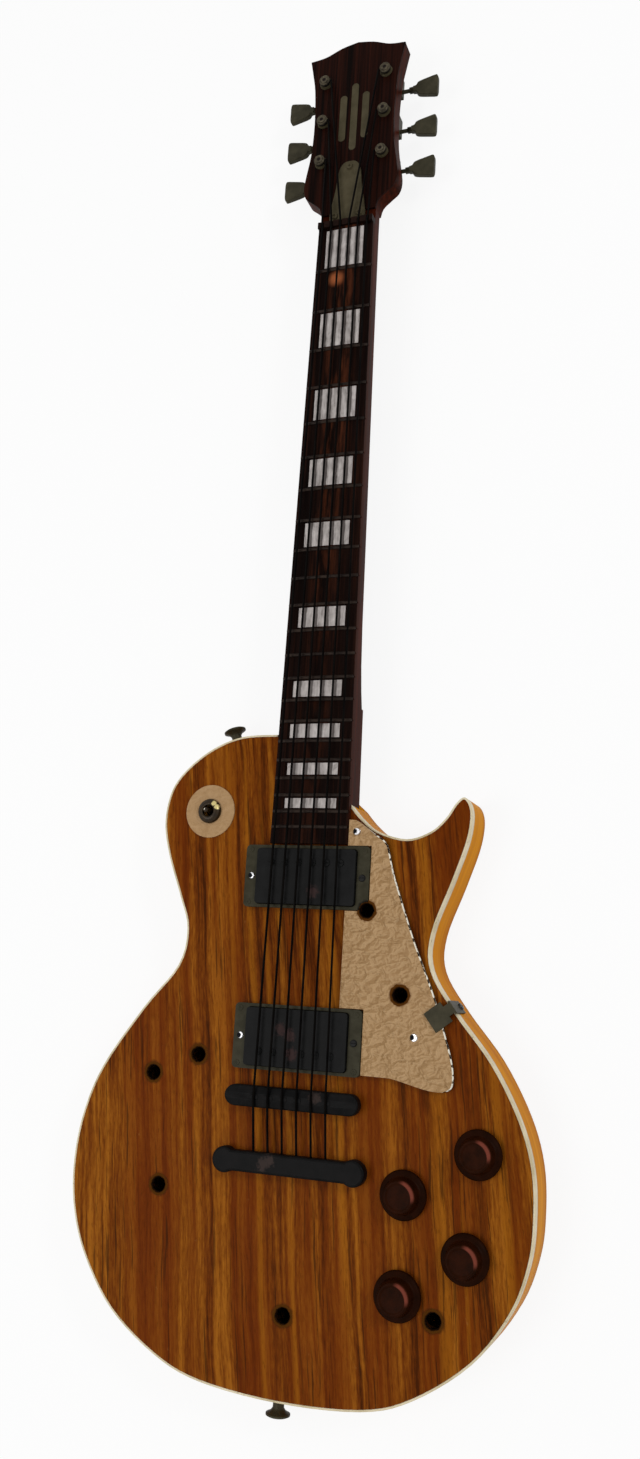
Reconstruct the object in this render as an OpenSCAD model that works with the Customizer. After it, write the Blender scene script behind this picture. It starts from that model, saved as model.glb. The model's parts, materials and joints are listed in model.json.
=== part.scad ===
// Solid-body electric guitar with a single cutaway, lying on its back, with burnt holes through its top.
// X runs to the treble side, Y along the neck to the headstock, Z out of the face.
// The origin is on the flat back, under the middle of the bridge. Millimetres throughout.

/* [Body] */
// Thickness of the whole body, back to face
body_t = 36; // [36:1:52]
// Widest width, across the lower bout
lower_bout_w = 316; // [280:1:360]
// Narrowest width, across the waist
waist_w = 173; // [150:1:200]
// Width across the upper bout, horn tip to bass shoulder
upper_bout_w = 222; // [205:1:250]
// Bridge line to the tail end of the body
body_tail = 180; // [165:1:200]
// Bridge line to the top of the bass shoulder
body_head = 241; // [236:1:256]
// Thickness of the figured top, and so the depth of the binding around it
cap_t = 7; // [6:0.5:12]
// Width of the binding on the face
binding_w = 1.5; // [1.2:0.1:3]

/* [Neck and headstock] */
// Bridge line to nut
scale_l = 628; // [600:1:650]
// Width of the fretboard at the nut
nut_w = 43; // [39:0.5:46]
// Width of the fretboard at its body end
board_end_w = 55.6; // [52:0.2:57]
// Bridge line to the body end of the fretboard
board_end_y = 165; // [165:0.5:168]
// Thickness of the fretboard along its middle
board_t = 5.5; // [5:0.1:7]
// Radius that the fretboard is crowned to
crown_r = 305; // [240:5:400]
// Number of frets
fret_count = 22; // [20:1:22]
// Depth of neck wood behind the fretboard, at the nut
neck_d = 16; // [14:0.5:18]
// Depth of the neck's square heel, and so of its pocket in the body
heel_d = 17; // [17:0.5:26]
// Thickness of the headstock wood
head_t = 12; // [11:0.5:14]
// Thickness of the headstock's face veneer
veneer_t = 2; // [1.5:0.1:3]
// Length of the headstock beyond the nut
head_l = 162; // [154:1:170]
// Half width of the headstock at its top corners
head_half_w = 38.5; // [37:0.5:42]

/* [Strings and tuners] */
// String spacing at the bridge
bridge_pitch = 9.9; // [9.5:0.1:10.6]
// String spacing at the nut
nut_pitch = 7; // [6.5:0.1:7.4]
// Diameter of the thickest string
thick_string_d = 1.7; // [1:0.05:1.8]
// Diameter of the thinnest string
thin_string_d = 1.5; // [0.6:0.05:1.6]
// Nut to the first pair of tuner posts
post_first = 60; // [58:0.5:64]
// Distance from one pair of posts to the next
post_pitch = 35; // [32:0.5:36]
// Half the distance across a pair of posts
post_half = 24.5; // [24:0.5:26]
// Diameter of a tuner post
post_d = 6; // [5:0.2:6.4]

/* [Pickups and bridge] */
// Middle of the neck pickup, from the bridge line
neck_pickup_y = 142.8; // [141:0.2:142.8]
// Middle of the bridge pickup, from the bridge line
bridge_pickup_y = 37.8; // [34:0.2:42]
// Length of a pickup ring, across the strings
ring_l = 88.6; // [86:0.2:92]
// Width of a pickup ring, along the strings
ring_w = 41.8; // [41:0.2:42.8]
// Height of a pickup ring above the top
ring_h = 4.5; // [3:0.1:5]
// Length of a pickup cover
cover_l = 70.4; // [68:0.2:71]
// Width of a pickup cover
cover_w = 36.8; // [36:0.2:37.6]
// Height of a pickup cover above the top
cover_h = 7; // [6:0.1:7.4]
// Length of the bridge bar, across the strings
bar_l = 92; // [88:0.5:98]
// Width of the bridge bar
bar_w = 13.5; // [12:0.5:15]
// Height of the bridge bar's crest above the top
bar_top = 9.6; // [9:0.1:11]
// Bridge line to the middle of the tailpiece
tail_y = 40.5; // [36:0.5:46]
// Length of the tailpiece
tail_l = 104; // [98:1:112]

/* [Controls] */
// Radius of a knob's skirt
knob_r = 15; // [12:0.1:15.5]
// Height of a knob
knob_h = 14; // [11:0.5:17]
// Diameter of a control shaft
shaft_d = 6; // [5:0.2:6.4]
// Radius of the washer under the selector switch
washer_r = 18.5; // [14:0.5:20]

/* [Damage] */
// Radius of the holes burnt into the top
burn_r = 5.5; // [3:0.1:5.8]
// Depth of the holes burnt into the top
burn_depth = 30; // [12:1:34]

/* [Hidden] */
$fn = 48;

eps = 0.01;            // overshoot of a cut past the face it opens
joint_clear = 0.1;     // glued or pressed seat, all round
run_clear = 0.05;      // a turning shaft in its bearing, on the radius
gap = 0.3;             // between parts of different moving bodies
skin_gap = 0.05;       // a curved part laid on a curved face

// Colours
amber = [0.80, 0.54, 0.16];
top_wood = [0.53, 0.31, 0.09];
cream = [0.86, 0.82, 0.72];
dark_wood = [0.20, 0.08, 0.05];
rosewood = [0.11, 0.06, 0.05];
gunmetal = [0.17, 0.17, 0.18];
olive_metal = [0.27, 0.28, 0.23];
tan_plastic = [0.74, 0.63, 0.47];
brown_plastic = [0.27, 0.13, 0.09];
black_plastic = [0.07, 0.07, 0.07];
pearl = [0.80, 0.80, 0.80];
steel = [0.55, 0.55, 0.56];

// Levels
top_z = body_t;                          // the face of the body, and the neck's gluing plane
face_z = top_z + veneer_t;               // the face of the headstock
head_back_z = top_z - head_t;
cap_z = top_z - cap_t;
crown_z = top_z + board_t - crown_r;     // axis of the fretboard's crown

// ---------- Curves ----------
// A point of the smooth curve between b and c, whose neighbours are a and d.
function spline(a, b, c, d, t) =
    0.5 * (2 * b + (c - a) * t + (2 * a - 5 * b + 4 * c - d) * t * t + (3 * b - a - 3 * c + d) * t * t * t);
// A smooth curve through the points p, with n steps in each stretch.
function smooth_open(p, n) = [
    for (i = [0 : len(p) - 2], k = [0 : n - 1])
        spline(p[max(i - 1, 0)], p[i], p[i + 1], p[min(i + 2, len(p) - 1)], k / n),
    p[len(p) - 1]
];
function unit(v) = v / norm(v);
function left_of(v) = [-v[1], v[0]];
// Corner i of the anticlockwise outline p, moved in by d.
function inset_point(p, i, d) =
    let (
        n = len(p),
        a = left_of(unit(p[i] - p[(i + n - 1) % n])),
        b = left_of(unit(p[(i + 1) % n] - p[i]))
    ) p[i] + d * (a + b) / (1 + a * b);
function reversed(p) = [for (i = [len(p) - 1 : -1 : 0]) p[i]];
function inset(p, d) = [for (i = [0 : len(p) - 1]) inset_point(p, i, d)];
// A half outline whose last point is on the middle line, closed with its mirror image.
function mirrored(p) = concat(p, [for (i = [len(p) - 2 : -1 : 0]) [-p[i][0], p[i][1]]]);

// ---------- Places ----------
function fret_y(n) = scale_l * pow(2, -n / 12);
function board_w(y) = board_end_w + (nut_w - board_end_w) * (y - board_end_y) / (scale_l - board_end_y);

half_low = lower_bout_w / 2;
half_waist = waist_w / 2;
half_up = upper_bout_w / 2;
cut_y = 192;                                     // where the cutaway leaves the neck
shoulder = [-board_w(body_head) / 2 - 2, body_head];
// The rim, from the bass shoulder round the tail to the horn and down into the cutaway.
rim = [
    shoulder, [56 - half_up, body_head - 1], [34 - half_up, body_head - 9], [15 - half_up, body_head - 23],
    [3.5 - half_up, body_head - 39], [-half_up, 180], [5 - half_up, 157], [-half_waist - 8, 128],
    [-half_waist - 0.5, 106], [-half_waist - 5, 81], [-half_waist - 29, 51], [15 - half_low, 10],
    [2.5 - half_low, -25], [-half_low - 0.6, -58], [3.6 - half_low, -87], [15.4 - half_low, -114],
    [37.5 - half_low, 37.5 - body_tail], [71 - half_low, 15 - body_tail], [0.34 * -half_low, 3.9 - body_tail],
    [0, -body_tail], [0.34 * half_low, 3.6 - body_tail], [half_low - 72, 14.7 - body_tail],
    [half_low - 37, 39.8 - body_tail], [half_low - 14.4, -110], [half_low - 4, -82], [half_low - 1.2, -57],
    [half_low - 2.8, -28], [half_low - 11.5, 0], [half_waist + 42, 32], [half_waist + 18, 61],
    [half_waist + 1.5, 86], [half_waist + 1, 109], [half_waist + 13, 142], [half_up - 3, 167],
    [half_up - 0.4, 183], [half_up - 1.8, 192.5], [half_up - 6.2, 197.3], [half_up - 11.6, 193.2],
    [half_up - 18, 183.5], [half_up - 28, 174.5], [half_up - 44, 169.5], [47, 174.5], [36, 182.5],
    [board_w(cut_y) / 2, cut_y]
];
rim_steps = 5;
body_outline = smooth_open(rim, rim_steps);
cap_outline = inset(body_outline, binding_w);

// Controls: neck volume, bridge volume, neck tone, bridge tone
pot_places = [[76, -50], [half_low - 36, -22], [75, -108], [half_low - 42, -82]];
switch_place = [35 - half_up, 187];
burn_places = [
    [43.5, 122], [68.5, 69.5], [-71, 23], [-103.5, 9], [-93, -62], [0.5, -130], [half_low - 61, -119.5]
];
tail_studs = [[-tail_l / 2 + 8.2, -tail_y], [tail_l / 2 - 8.2, -tail_y]];
bridge_studs = [[-bar_l / 2 + 7, 0], [bar_l / 2 - 7, 0]];
// A place on the rim, that many stretches from the shoulder, and the way out of the body there.
function rim_place(stretch) =
    let (
        a = body_outline[floor(stretch * rim_steps)],
        b = body_outline[floor(stretch * rim_steps) + 1]
    ) [(a + b) / 2, atan2(a[0] - b[0], b[1] - a[1])];
strap_places = [rim_place(1.4), rim_place(18.9)];
jack_place = rim_place(21.5);
bracket_place = rim_place(29);

// Strings, from the thickest
function string_d(k) = thick_string_d + (thin_string_d - thick_string_d) * k / 5;
function bridge_x(k) = (k - 2.5) * bridge_pitch;
function nut_x(k) = (k - 2.5) * nut_pitch;
function side(k) = k < 3 ? -1 : 1;
function post_x(k) = side(k) * post_half;
function post_y(k) = scale_l + post_first + post_pitch * (k < 3 ? k : 5 - k);
fret_h = 1;
string_lift = 0.3;                                // string over the first fret
tail_hole_z = top_z + 4.4;
wind_pitch = 0.95;
wind_r = 0.5;
wind_z = face_z + 3.6;
wind_out = post_d / 2 + skin_gap + 2 * wind_r;    // outside of a winding
function nut_z(k) = top_z + board_t + fret_h + string_lift + string_d(k) / 2;
function saddle_z(k) = top_z + bar_top + skin_gap + string_d(k) / 2;
function string_route(k) = [
    [bridge_x(k), -tail_y - 4.5, tail_hole_z],
    [bridge_x(k), -tail_y + 6.6, tail_hole_z],
    [bridge_x(k), -1.2, saddle_z(k)],
    [bridge_x(k), 1.2, saddle_z(k)],
    [nut_x(k), scale_l, nut_z(k)],
    [nut_x(k) * 1.03, scale_l + nut_t, nut_z(k)],
    [post_x(k) - side(k) * (wind_out + gap + string_d(k) / 2), post_y(k), wind_z]
];

// ---------- Shared shapes ----------
module rounded(l, w, r) {
    square([l - 2 * r, w], center = true);
    square([l, w - 2 * r], center = true);
    for (x = [-1, 1], y = [-1, 1])
        translate([x * (l / 2 - r), y * (w / 2 - r)]) circle(r);
}
// A bar with round ends.
module stadium(l, w) {
    square([l - w, w], center = true);
    for (x = [-1, 1]) translate([x * (l - w) / 2, 0]) circle(w / 2);
}
// A slot of width w between two points.
module link(a, b, w) {
    translate((a + b) / 2) rotate(atan2(b[1] - a[1], b[0] - a[0]))
        square([norm(b - a), w], center = true);
}
// A many-sided tube along a route that runs mostly along Y.
module tube(route, r, sides = 8) {
    rings = len(route);
    points = [
        for (p = route, s = [0 : sides - 1])
            [p[0] + r * cos(360 * s / sides), p[1], p[2] + r * sin(360 * s / sides)]
    ];
    walls = [
        for (i = [0 : rings - 2], s = [0 : sides - 1]) [
            i * sides + s, i * sides + (s + 1) % sides,
            (i + 1) * sides + (s + 1) % sides, (i + 1) * sides + s
        ]
    ];
    ends = [
        [for (s = [sides - 1 : -1 : 0]) s],
        [for (s = [0 : sides - 1]) (rings - 1) * sides + s]
    ];
    polyhedron(points, concat(walls, ends), convexity = 4);
}
screw_r = 1.2;
screw_head_r = 2.7;
screw_head_h = 1.2;
screw_l = 10;
ring_head = [1.9, 0.4];                           // radius and height of a ring screw's small head
// A small wood screw with its head's seat at the origin, pointing down.
module wood_screw(head_r = screw_head_r, head_h = screw_head_h) {
    difference() {
        union() {
            translate([0, 0, -screw_l]) cylinder(r = screw_r, h = screw_l + eps);
            cylinder(r1 = head_r, r2 = head_r - head_h / 2, h = head_h);
        }
        for (a = [0, 90]) rotate(a)
            translate([-head_r / 2, -0.3, head_h / 2]) cube([head_r, 0.6, 1]);
    }
}
module screw_hole() translate([0, 0, -screw_l - 0.5])
    cylinder(r = screw_r + skin_gap, h = screw_l + 20);
module burn_holes() {
    for (p = burn_places) translate([p[0], p[1], top_z - burn_depth])
        cylinder(r = burn_r, h = burn_depth + 20);
}

// ---------- Pickups ----------
cover_wall = 0.8;
cover_gap = 0.4;                                  // around the cover, in its ring
cover_foot_z = top_z - 9;
plate_t = 1.2;
height_x = cover_l / 2 + 4.3;                     // height screws
ear_w = 8;
pole_off = cover_w / 4;
bobbin = [cover_l - 2 * cover_wall - 3, cover_w / 2 - cover_wall - 1.2, 9.5];
pole_r = 2.3;
pole_shank_r = 1.2;
height_r = 1.2;
pickups = [[neck_pickup_y, 1], [bridge_pickup_y, -1]];        // middle, and the side its poles are on
function ring_screw_places(y) = [
    for (x = [-1, 1], s = [-1, 1]) [x * (ring_l / 2 - 3.7), y + s * (ring_w / 2 - 3.3)]
];
cavity_d = 22;
module pickup_cavity(y) {
    translate([0, y, top_z - cavity_d]) linear_extrude(cavity_d + 20) {
        rounded(cover_l + 3.6, cover_w + 2, 4);
        square([2 * (height_x + 3.6), ear_w + 3], center = true);
    }
}
module pickup_ring(y) {
    color(olive_metal) difference() {
        translate([0, y, top_z]) difference() {
            linear_extrude(ring_h) rounded(ring_l, ring_w, 3);
            translate([0, 0, -1]) linear_extrude(ring_h + 2)
                rounded(cover_l + 2 * cover_gap, cover_w + 2 * cover_gap, 2.4);
            for (x = [-height_x, height_x]) translate([x, 0, -1])
                cylinder(r = height_r + 0.4, h = ring_h + 2);
        }
        for (p = ring_screw_places(y)) translate([p[0], p[1], top_z + ring_h]) screw_hole();
        burn_holes();
    }
}
module pickup_cover(y, s) {
    color(gunmetal) translate([0, y, cover_foot_z]) difference() {
        linear_extrude(top_z + cover_h - cover_foot_z) rounded(cover_l, cover_w, 2);
        translate([0, 0, -1]) linear_extrude(top_z + cover_h - cover_foot_z + 1 - cover_wall)
            rounded(cover_l - 2 * cover_wall, cover_w - 2 * cover_wall, 1.4);
        for (k = [0 : 5]) translate([bridge_x(k), s * pole_off, 0]) cylinder(r = pole_r + 0.15, h = 40);
    }
}
module pickup_coils(y, s) {
    color(black_plastic) for (b = [-1, 1]) translate([0, y + b * pole_off, cover_foot_z + 2])
        difference() {
            linear_extrude(bobbin[2]) stadium(bobbin[0], bobbin[1]);
            if (b == s) for (k = [0 : 5]) translate([bridge_x(k), 0, -1])
                cylinder(r = pole_shank_r + 0.15, h = 20);
        }
    color("darkgoldenrod") translate([0, y, cover_foot_z - plate_t]) difference() {
        linear_extrude(plate_t) {
            rounded(cover_l, cover_w, 2);
            square([2 * (height_x + 3), ear_w], center = true);
        }
        for (x = [-height_x, height_x]) translate([x, 0, -1]) cylinder(r = height_r + skin_gap, h = 4);
        for (k = [0 : 5]) translate([bridge_x(k), s * pole_off, -1])
            cylinder(r = pole_shank_r + 0.15, h = 4);
    }
}

// ---------- Body ----------
cover_t = 2;                                      // rear covers, set flush
cover_lip = 6;                                    // how far a rear cover reaches past its cavity
pot_room = 14;                                    // cavity around each pot
pot_link_w = 22;                                  // and between them
channel_r = 4;
switch_room = 19;
module control_plan(grow) {
    for (p = pot_places) translate(p) circle(pot_room + grow);
    for (pair = [[0, 1], [0, 2], [1, 3], [2, 3]])
        link(pot_places[pair[0]], pot_places[pair[1]], pot_link_w + 2 * grow);
    polygon(pot_places_round);
}
pot_places_round = [pot_places[0], pot_places[2], pot_places[3], pot_places[1]];
control_screws = [
    pot_places[0] + [-16.9, 2], pot_places[1] + [9.7, 14],
    pot_places[2] + [-12, -12], pot_places[3] + [16.9, -2]
];
switch_screws = [for (a = [90, 210, 330]) switch_place + (switch_room + cover_lip / 2) * [cos(a), sin(a)]];
module control_cavity() {
    translate([0, 0, cover_t]) linear_extrude(cap_z - cover_t) control_plan(0);
    translate([0, 0, -eps]) linear_extrude(cover_t + 2 * eps) control_plan(cover_lip + joint_clear);
}
module switch_cavity() {
    translate([switch_place[0], switch_place[1], cover_t]) cylinder(r = switch_room, h = cap_z - cover_t);
    translate([switch_place[0], switch_place[1], -eps])
        cylinder(r = switch_room + cover_lip + joint_clear, h = cover_t + 2 * eps);
}
// A round channel for wires, level, from a to b.
module channel(a, b) {
    translate([a[0], a[1], cap_z - 10]) rotate([0, 90, atan2(b[1] - a[1], b[0] - a[0])])
        cylinder(r = channel_r, h = norm(b - a));
}
neck_end_y = board_end_y + 1;
module neck_plan(from, to, grow) {
    polygon([
        [-board_w(from) / 2 - grow, from - grow], [board_w(from) / 2 + grow, from - grow],
        [board_w(to) / 2 + grow, to], [-board_w(to) / 2 - grow, to]
    ]);
}
heel_end_y = body_head + 20;
module neck_pocket() {
    translate([0, 0, top_z - heel_d]) linear_extrude(heel_d + 20)
        neck_plan(neck_end_y, heel_end_y, joint_clear);
}
jack_r = 4.7;
jack_hole_r = 3.25;                               // takes a 6.35 mm plug
jack_l = 20;
jack_body_r = 7.6;
ferrule_r = 11;
ferrule_t = 2;
jack_room = [9, 30];                              // radius and depth of the hollow behind the jack
jack_sink = 2.6;                                  // from the rim in to the face of the jack's plate
// Turns its children's Z to point straight out of the rim at a place, at height z.
module at_rim(place, z) translate([place[0][0], place[0][1], z]) rotate([0, 90, place[1]]) children();
module at_jack() at_rim(jack_place, 0.6 * cap_z) translate([0, 0, -jack_sink]) children();
module jack_bore() {
    at_jack() {
        translate([0, 0, -ferrule_t]) cylinder(r = ferrule_r + joint_clear, h = 30);
        translate([0, 0, -jack_room[1]]) cylinder(r = jack_room[0], h = jack_room[1]);
    }
}
module at_strap(i) at_rim(strap_places[i], 0.6 * cap_z) children();
bushing_r = 4.5;
bushing_l = 18;
anchors = concat(tail_studs, bridge_studs);
guard_screw_places = [[34, 173.5], [half_waist - 7.5, 44]];
bracket_off = 0.15;                               // its flat foot spans a hollow curve of the rim
module at_bracket() translate([bracket_place[0][0], bracket_place[0][1], top_z])
    rotate(bracket_place[1]) translate([bracket_off, 0, 0]) children();
module at_bracket_screw() at_rim(bracket_place, top_z - 14)
    translate([0, 0, bracket_off + bracket_t]) children();
bushing_sleeve = run_clear + 1.2;
bearing_r = post_d / 2 + bushing_sleeve;          // outside of a tuner's bushing
shaft_sleeve = 1.5;
pot_thread_r = shaft_d / 2 + run_clear + shaft_sleeve;
switch_thread_r = 6;

module body_holes() {
    for (p = pickups) {
        pickup_cavity(p[0]);
        for (q = ring_screw_places(p[0])) translate([q[0], q[1], top_z + ring_h]) screw_hole();
    }
    neck_pocket();
    burn_holes();
    for (p = anchors) translate([p[0], p[1], top_z - bushing_l]) cylinder(r = bushing_r, h = bushing_l + 1);
    for (p = pot_places) translate([p[0], p[1], cap_z - 1]) cylinder(r = pot_thread_r + 0.3, h = cap_t + 2);
    translate([switch_place[0], switch_place[1], cap_z - 1])
        cylinder(r = switch_thread_r + 0.3, h = cap_t + 2);
    for (p = guard_screw_places) translate([p[0], p[1], top_z + guard_lift]) screw_hole();
}
module body_back() {
    color(amber) difference() {
        linear_extrude(cap_z) polygon(body_outline);
        body_holes();
        control_cavity();
        switch_cavity();
        jack_bore();
        channel([0, bridge_pickup_y], [0, neck_pickup_y]);
        channel([32, bridge_pickup_y], pot_places[0]);
        channel([-32, neck_pickup_y], switch_place);
        for (i = [0, 1]) at_strap(i) translate([0, 0, -strap_screw_l])
            cylinder(r = strap_screw_r + skin_gap, h = strap_screw_l + 20);
        for (p = concat(control_screws, switch_screws))
            translate([p[0], p[1], screw_head_h]) mirror([0, 0, 1]) screw_hole();
        at_bracket_screw() screw_hole();
    }
}
module body_top() {
    color(top_wood) difference() {
        translate([0, 0, cap_z]) linear_extrude(cap_t) polygon(cap_outline);
        body_holes();
    }
}
// One strip round the rim, open where the neck comes in.
module body_binding() {
    color(cream) translate([0, 0, cap_z]) linear_extrude(cap_t) difference() {
        polygon(concat(body_outline, reversed(cap_outline)));
        neck_plan(neck_end_y, heel_end_y, joint_clear);
    }
}

// ---------- Neck ----------
// A section of the neck's back: power 1 is an ellipse, and less is squarer.
section_steps = 16;
function neck_section(y, w, d, power) = [
    for (i = [0 : section_steps])
        let (a = 180 * i / section_steps)
        [
            w / 2 * sign(cos(a)) * pow(abs(cos(a)), power), y,
            top_z - d * pow(max(sin(a), 0), power)
        ]
];
nut_t = 5;
head_start_y = scale_l + 14;
neck_sections = [
    neck_section(heel_end_y, board_w(heel_end_y), heel_d, 0.12),
    neck_section(heel_end_y + 12, board_w(heel_end_y + 12), heel_d - 0.2, 0.24),
    neck_section(heel_end_y + 30, board_w(heel_end_y + 30), (2 * heel_d + neck_d) / 3, 0.36),
    neck_section(heel_end_y + 60, board_w(heel_end_y + 60), (heel_d + 2 * neck_d) / 3, 0.42),
    neck_section(scale_l - 20, board_w(scale_l - 20), neck_d, 0.42),
    neck_section(scale_l, nut_w, neck_d - 0.5, 0.38),
    neck_section(head_start_y, nut_w, head_t, 0.2)
];
module loft(sections) {
    n = len(sections[0]);
    m = len(sections);
    points = [for (s = sections, p = s) p];
    walls = [
        for (i = [0 : m - 2], k = [0 : n - 2], half = [0, 1])
            half == 0
                ? [i * n + k, (i + 1) * n + k, i * n + k + 1]
                : [i * n + k + 1, (i + 1) * n + k, (i + 1) * n + k + 1]
    ];
    tops = [for (i = [0 : m - 2]) [i * n, i * n + n - 1, (i + 1) * n + n - 1, (i + 1) * n]];
    ends = [[for (k = [0 : n - 1]) k], [for (k = [n - 1 : -1 : 0]) (m - 1) * n + k]];
    polyhedron(points, concat(walls, tops, ends), convexity = 6);
}
corner_y = scale_l + head_l - 9;
head_side = [
    [nut_w / 2, head_start_y], [nut_w / 2 + 2, scale_l + 21], [30, scale_l + 27], [35.5, scale_l + 32],
    [37.4, scale_l + 40], [36.2, scale_l + 51], [33.2, scale_l + 70], [32.2, scale_l + 96],
    [33.6, corner_y - 28], [36, corner_y - 13], [head_half_w, corner_y]
];
head_top = [
    [head_half_w, corner_y], [26, corner_y + 1.4], [13, corner_y + 6.4], [0, scale_l + head_l]
];
head_edge = smooth_open(head_side, 3);
head_plan = mirrored(concat([for (i = [0 : len(head_edge) - 2]) head_edge[i]], smooth_open(head_top, 4)));
module bearing_holes() {
    for (k = [0 : 5]) translate([post_x(k), post_y(k), head_back_z - 1])
        cylinder(r = bearing_r + joint_clear, h = head_t + veneer_t + 2);
}
rod_r = 3;
rod_l = scale_l - body_head - 4;
rod_pocket = [9, 20];                             // the hollow over the truss rod's nut
rod_z = top_z - 6;
module rod_nut_pocket() {
    translate([-rod_pocket[0] / 2, scale_l + nut_t + 4, rod_z - rod_r])
        cube([rod_pocket[0], rod_pocket[1], 20]);
}
module neck() {
    color(dark_wood) difference() {
        union() {
            translate([0, 0, top_z - heel_d]) linear_extrude(heel_d) neck_plan(neck_end_y, heel_end_y, 0);
            loft(neck_sections);
            translate([0, 0, head_back_z]) linear_extrude(head_t) polygon(head_plan);
        }
        bearing_holes();
        translate([0, body_head, rod_z]) rotate([-90, 0, 0])
            cylinder(r = rod_r + run_clear, h = rod_l + nut_t + 20);
        rod_nut_pocket();
        for (p = rod_cover_screws) translate([p[0], p[1], face_z + rod_cover_t]) screw_hole();
    }
}
module truss_rod() {
    color("silver") translate([0, body_head, rod_z]) rotate([-90, 0, 0]) {
        cylinder(r = rod_r - 0.2, h = rod_l + 12);
        translate([0, 0, rod_l + nut_t + 10]) cylinder(r = rod_r, h = 9, $fn = 6);
    }
}
module headstock_face() {
    color([0.09, 0.05, 0.04]) difference() {
        translate([0, 0, top_z]) linear_extrude(veneer_t) difference() {
            polygon(head_plan);
            translate([-60, 0]) square([120, scale_l + nut_t + joint_clear]);
        }
        bearing_holes();
        ornament_cut(joint_clear);
        rod_nut_pocket();
        for (p = rod_cover_screws) translate([p[0], p[1], face_z + rod_cover_t]) screw_hole();
    }
}
// Three plain upright bars, inlaid flush, the middle one longest.
ornament_t = 1.2;
ornament_y = scale_l + 96;
ornament_bars = [[-9, 40], [0, 58], [9, 40]];
module ornament_cut(grow) {
    for (b = ornament_bars) translate([b[0], ornament_y, face_z - ornament_t])
        linear_extrude(ornament_t + eps) rotate(90) stadium(b[1] + 2 * grow, 5.5 + 2 * grow);
}
module headstock_ornament() {
    color(olive_metal) intersection() {
        ornament_cut(0);
        translate([-20, ornament_y - 40, face_z - ornament_t]) cube([40, 80, ornament_t]);
    }
}
rod_cover_t = 2;
rod_cover_y = scale_l + nut_t + 1;
rod_cover_l = 50;
rod_cover_screws = [[0, rod_cover_y + rod_cover_l - 5], [-9.5, rod_cover_y + 4.5], [9.5, rod_cover_y + 4.5]];
rod_cover_side = [
    [13.5, 0], [14, 5], [12.8, 14], [10.6, 26], [9.2, 38],
    [7.6, rod_cover_l - 4.5], [4.2, rod_cover_l - 0.7], [0, rod_cover_l]
];
module truss_rod_cover() {
    color(olive_metal) difference() {
        translate([0, rod_cover_y, face_z]) linear_extrude(rod_cover_t)
            polygon(mirrored(smooth_open(rod_cover_side, 3)));
        for (p = rod_cover_screws) translate([p[0], p[1], face_z + rod_cover_t]) screw_hole();
    }
}
// ---------- Fretboard ----------
tang_t = 0.6;
tang_d = 1.4;
bead_w = 2.3;
marker_frets = [1, 3, 5, 7, 9, 12, 15, 17, 19, 21];
marker_t = 1.2;
function marker_y(n) = (fret_y(n) + fret_y(n - 1)) / 2;
function marker_l(n) = fret_y(n - 1) - fret_y(n) - 4.4;
function marker_w(n) = 0.675 * board_w(marker_y(n));
module crown(r) translate([0, board_end_y - 5, crown_z]) rotate([-90, 0, 0])
    cylinder(r = r, h = scale_l, $fn = 360);
module marker_block(n, grow) {
    l = marker_l(n) + 2 * grow;
    w = marker_w(n) + 2 * grow;
    translate([-w / 2, marker_y(n) - l / 2, top_z + board_t - marker_t - 1]) cube([w, l, 5]);
}
module fretboard() {
    color(rosewood) difference() {
        intersection() {
            translate([0, 0, top_z]) linear_extrude(board_t + 1) neck_plan(board_end_y, scale_l, 0);
            crown(crown_r);
        }
        for (n = [1 : fret_count]) translate([-40, fret_y(n) - tang_t / 2 - skin_gap, top_z + board_t - 3.2])
            cube([80, tang_t + 2 * skin_gap, 10]);
        for (n = marker_frets) marker_block(n, joint_clear);
    }
}
module fret_markers() {
    color(pearl) intersection() {
        union() for (n = marker_frets) marker_block(n, 0);
        crown(crown_r);
    }
}
bead = [
    [-tang_d, -tang_t / 2], [skin_gap, -tang_t / 2], [skin_gap, -bead_w / 2], [0.5, -bead_w / 2 + 0.15],
    [0.85, -0.6], [fret_h, 0], [0.85, 0.6], [0.5, bead_w / 2 - 0.15], [skin_gap, bead_w / 2],
    [skin_gap, tang_t / 2], [-tang_d, tang_t / 2]
];
module frets() {
    color(steel) for (n = [1 : fret_count]) {
        half_angle = asin((board_w(fret_y(n)) / 2 - 0.5) / crown_r);
        translate([0, fret_y(n), crown_z]) rotate([-90, -90 - half_angle, 0])
            rotate_extrude(angle = 2 * half_angle, $fn = 720)
                polygon([for (p = bead) [crown_r + p[0], p[1]]]);
    }
}
module nut() {
    color([0.16, 0.15, 0.13]) difference() {
        translate([-nut_w / 2, scale_l, top_z]) cube([nut_w, nut_t, nut_z(0) - top_z]);
        for (k = [0 : 5]) translate([nut_x(k) * 1.015, scale_l - 1, nut_z(k) - string_d(k) / 2 - skin_gap])
            translate([-string_d(k) / 2 - 0.25, 0, 0]) cube([string_d(k) + 0.5, nut_t + 2, 5]);
    }
}

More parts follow.
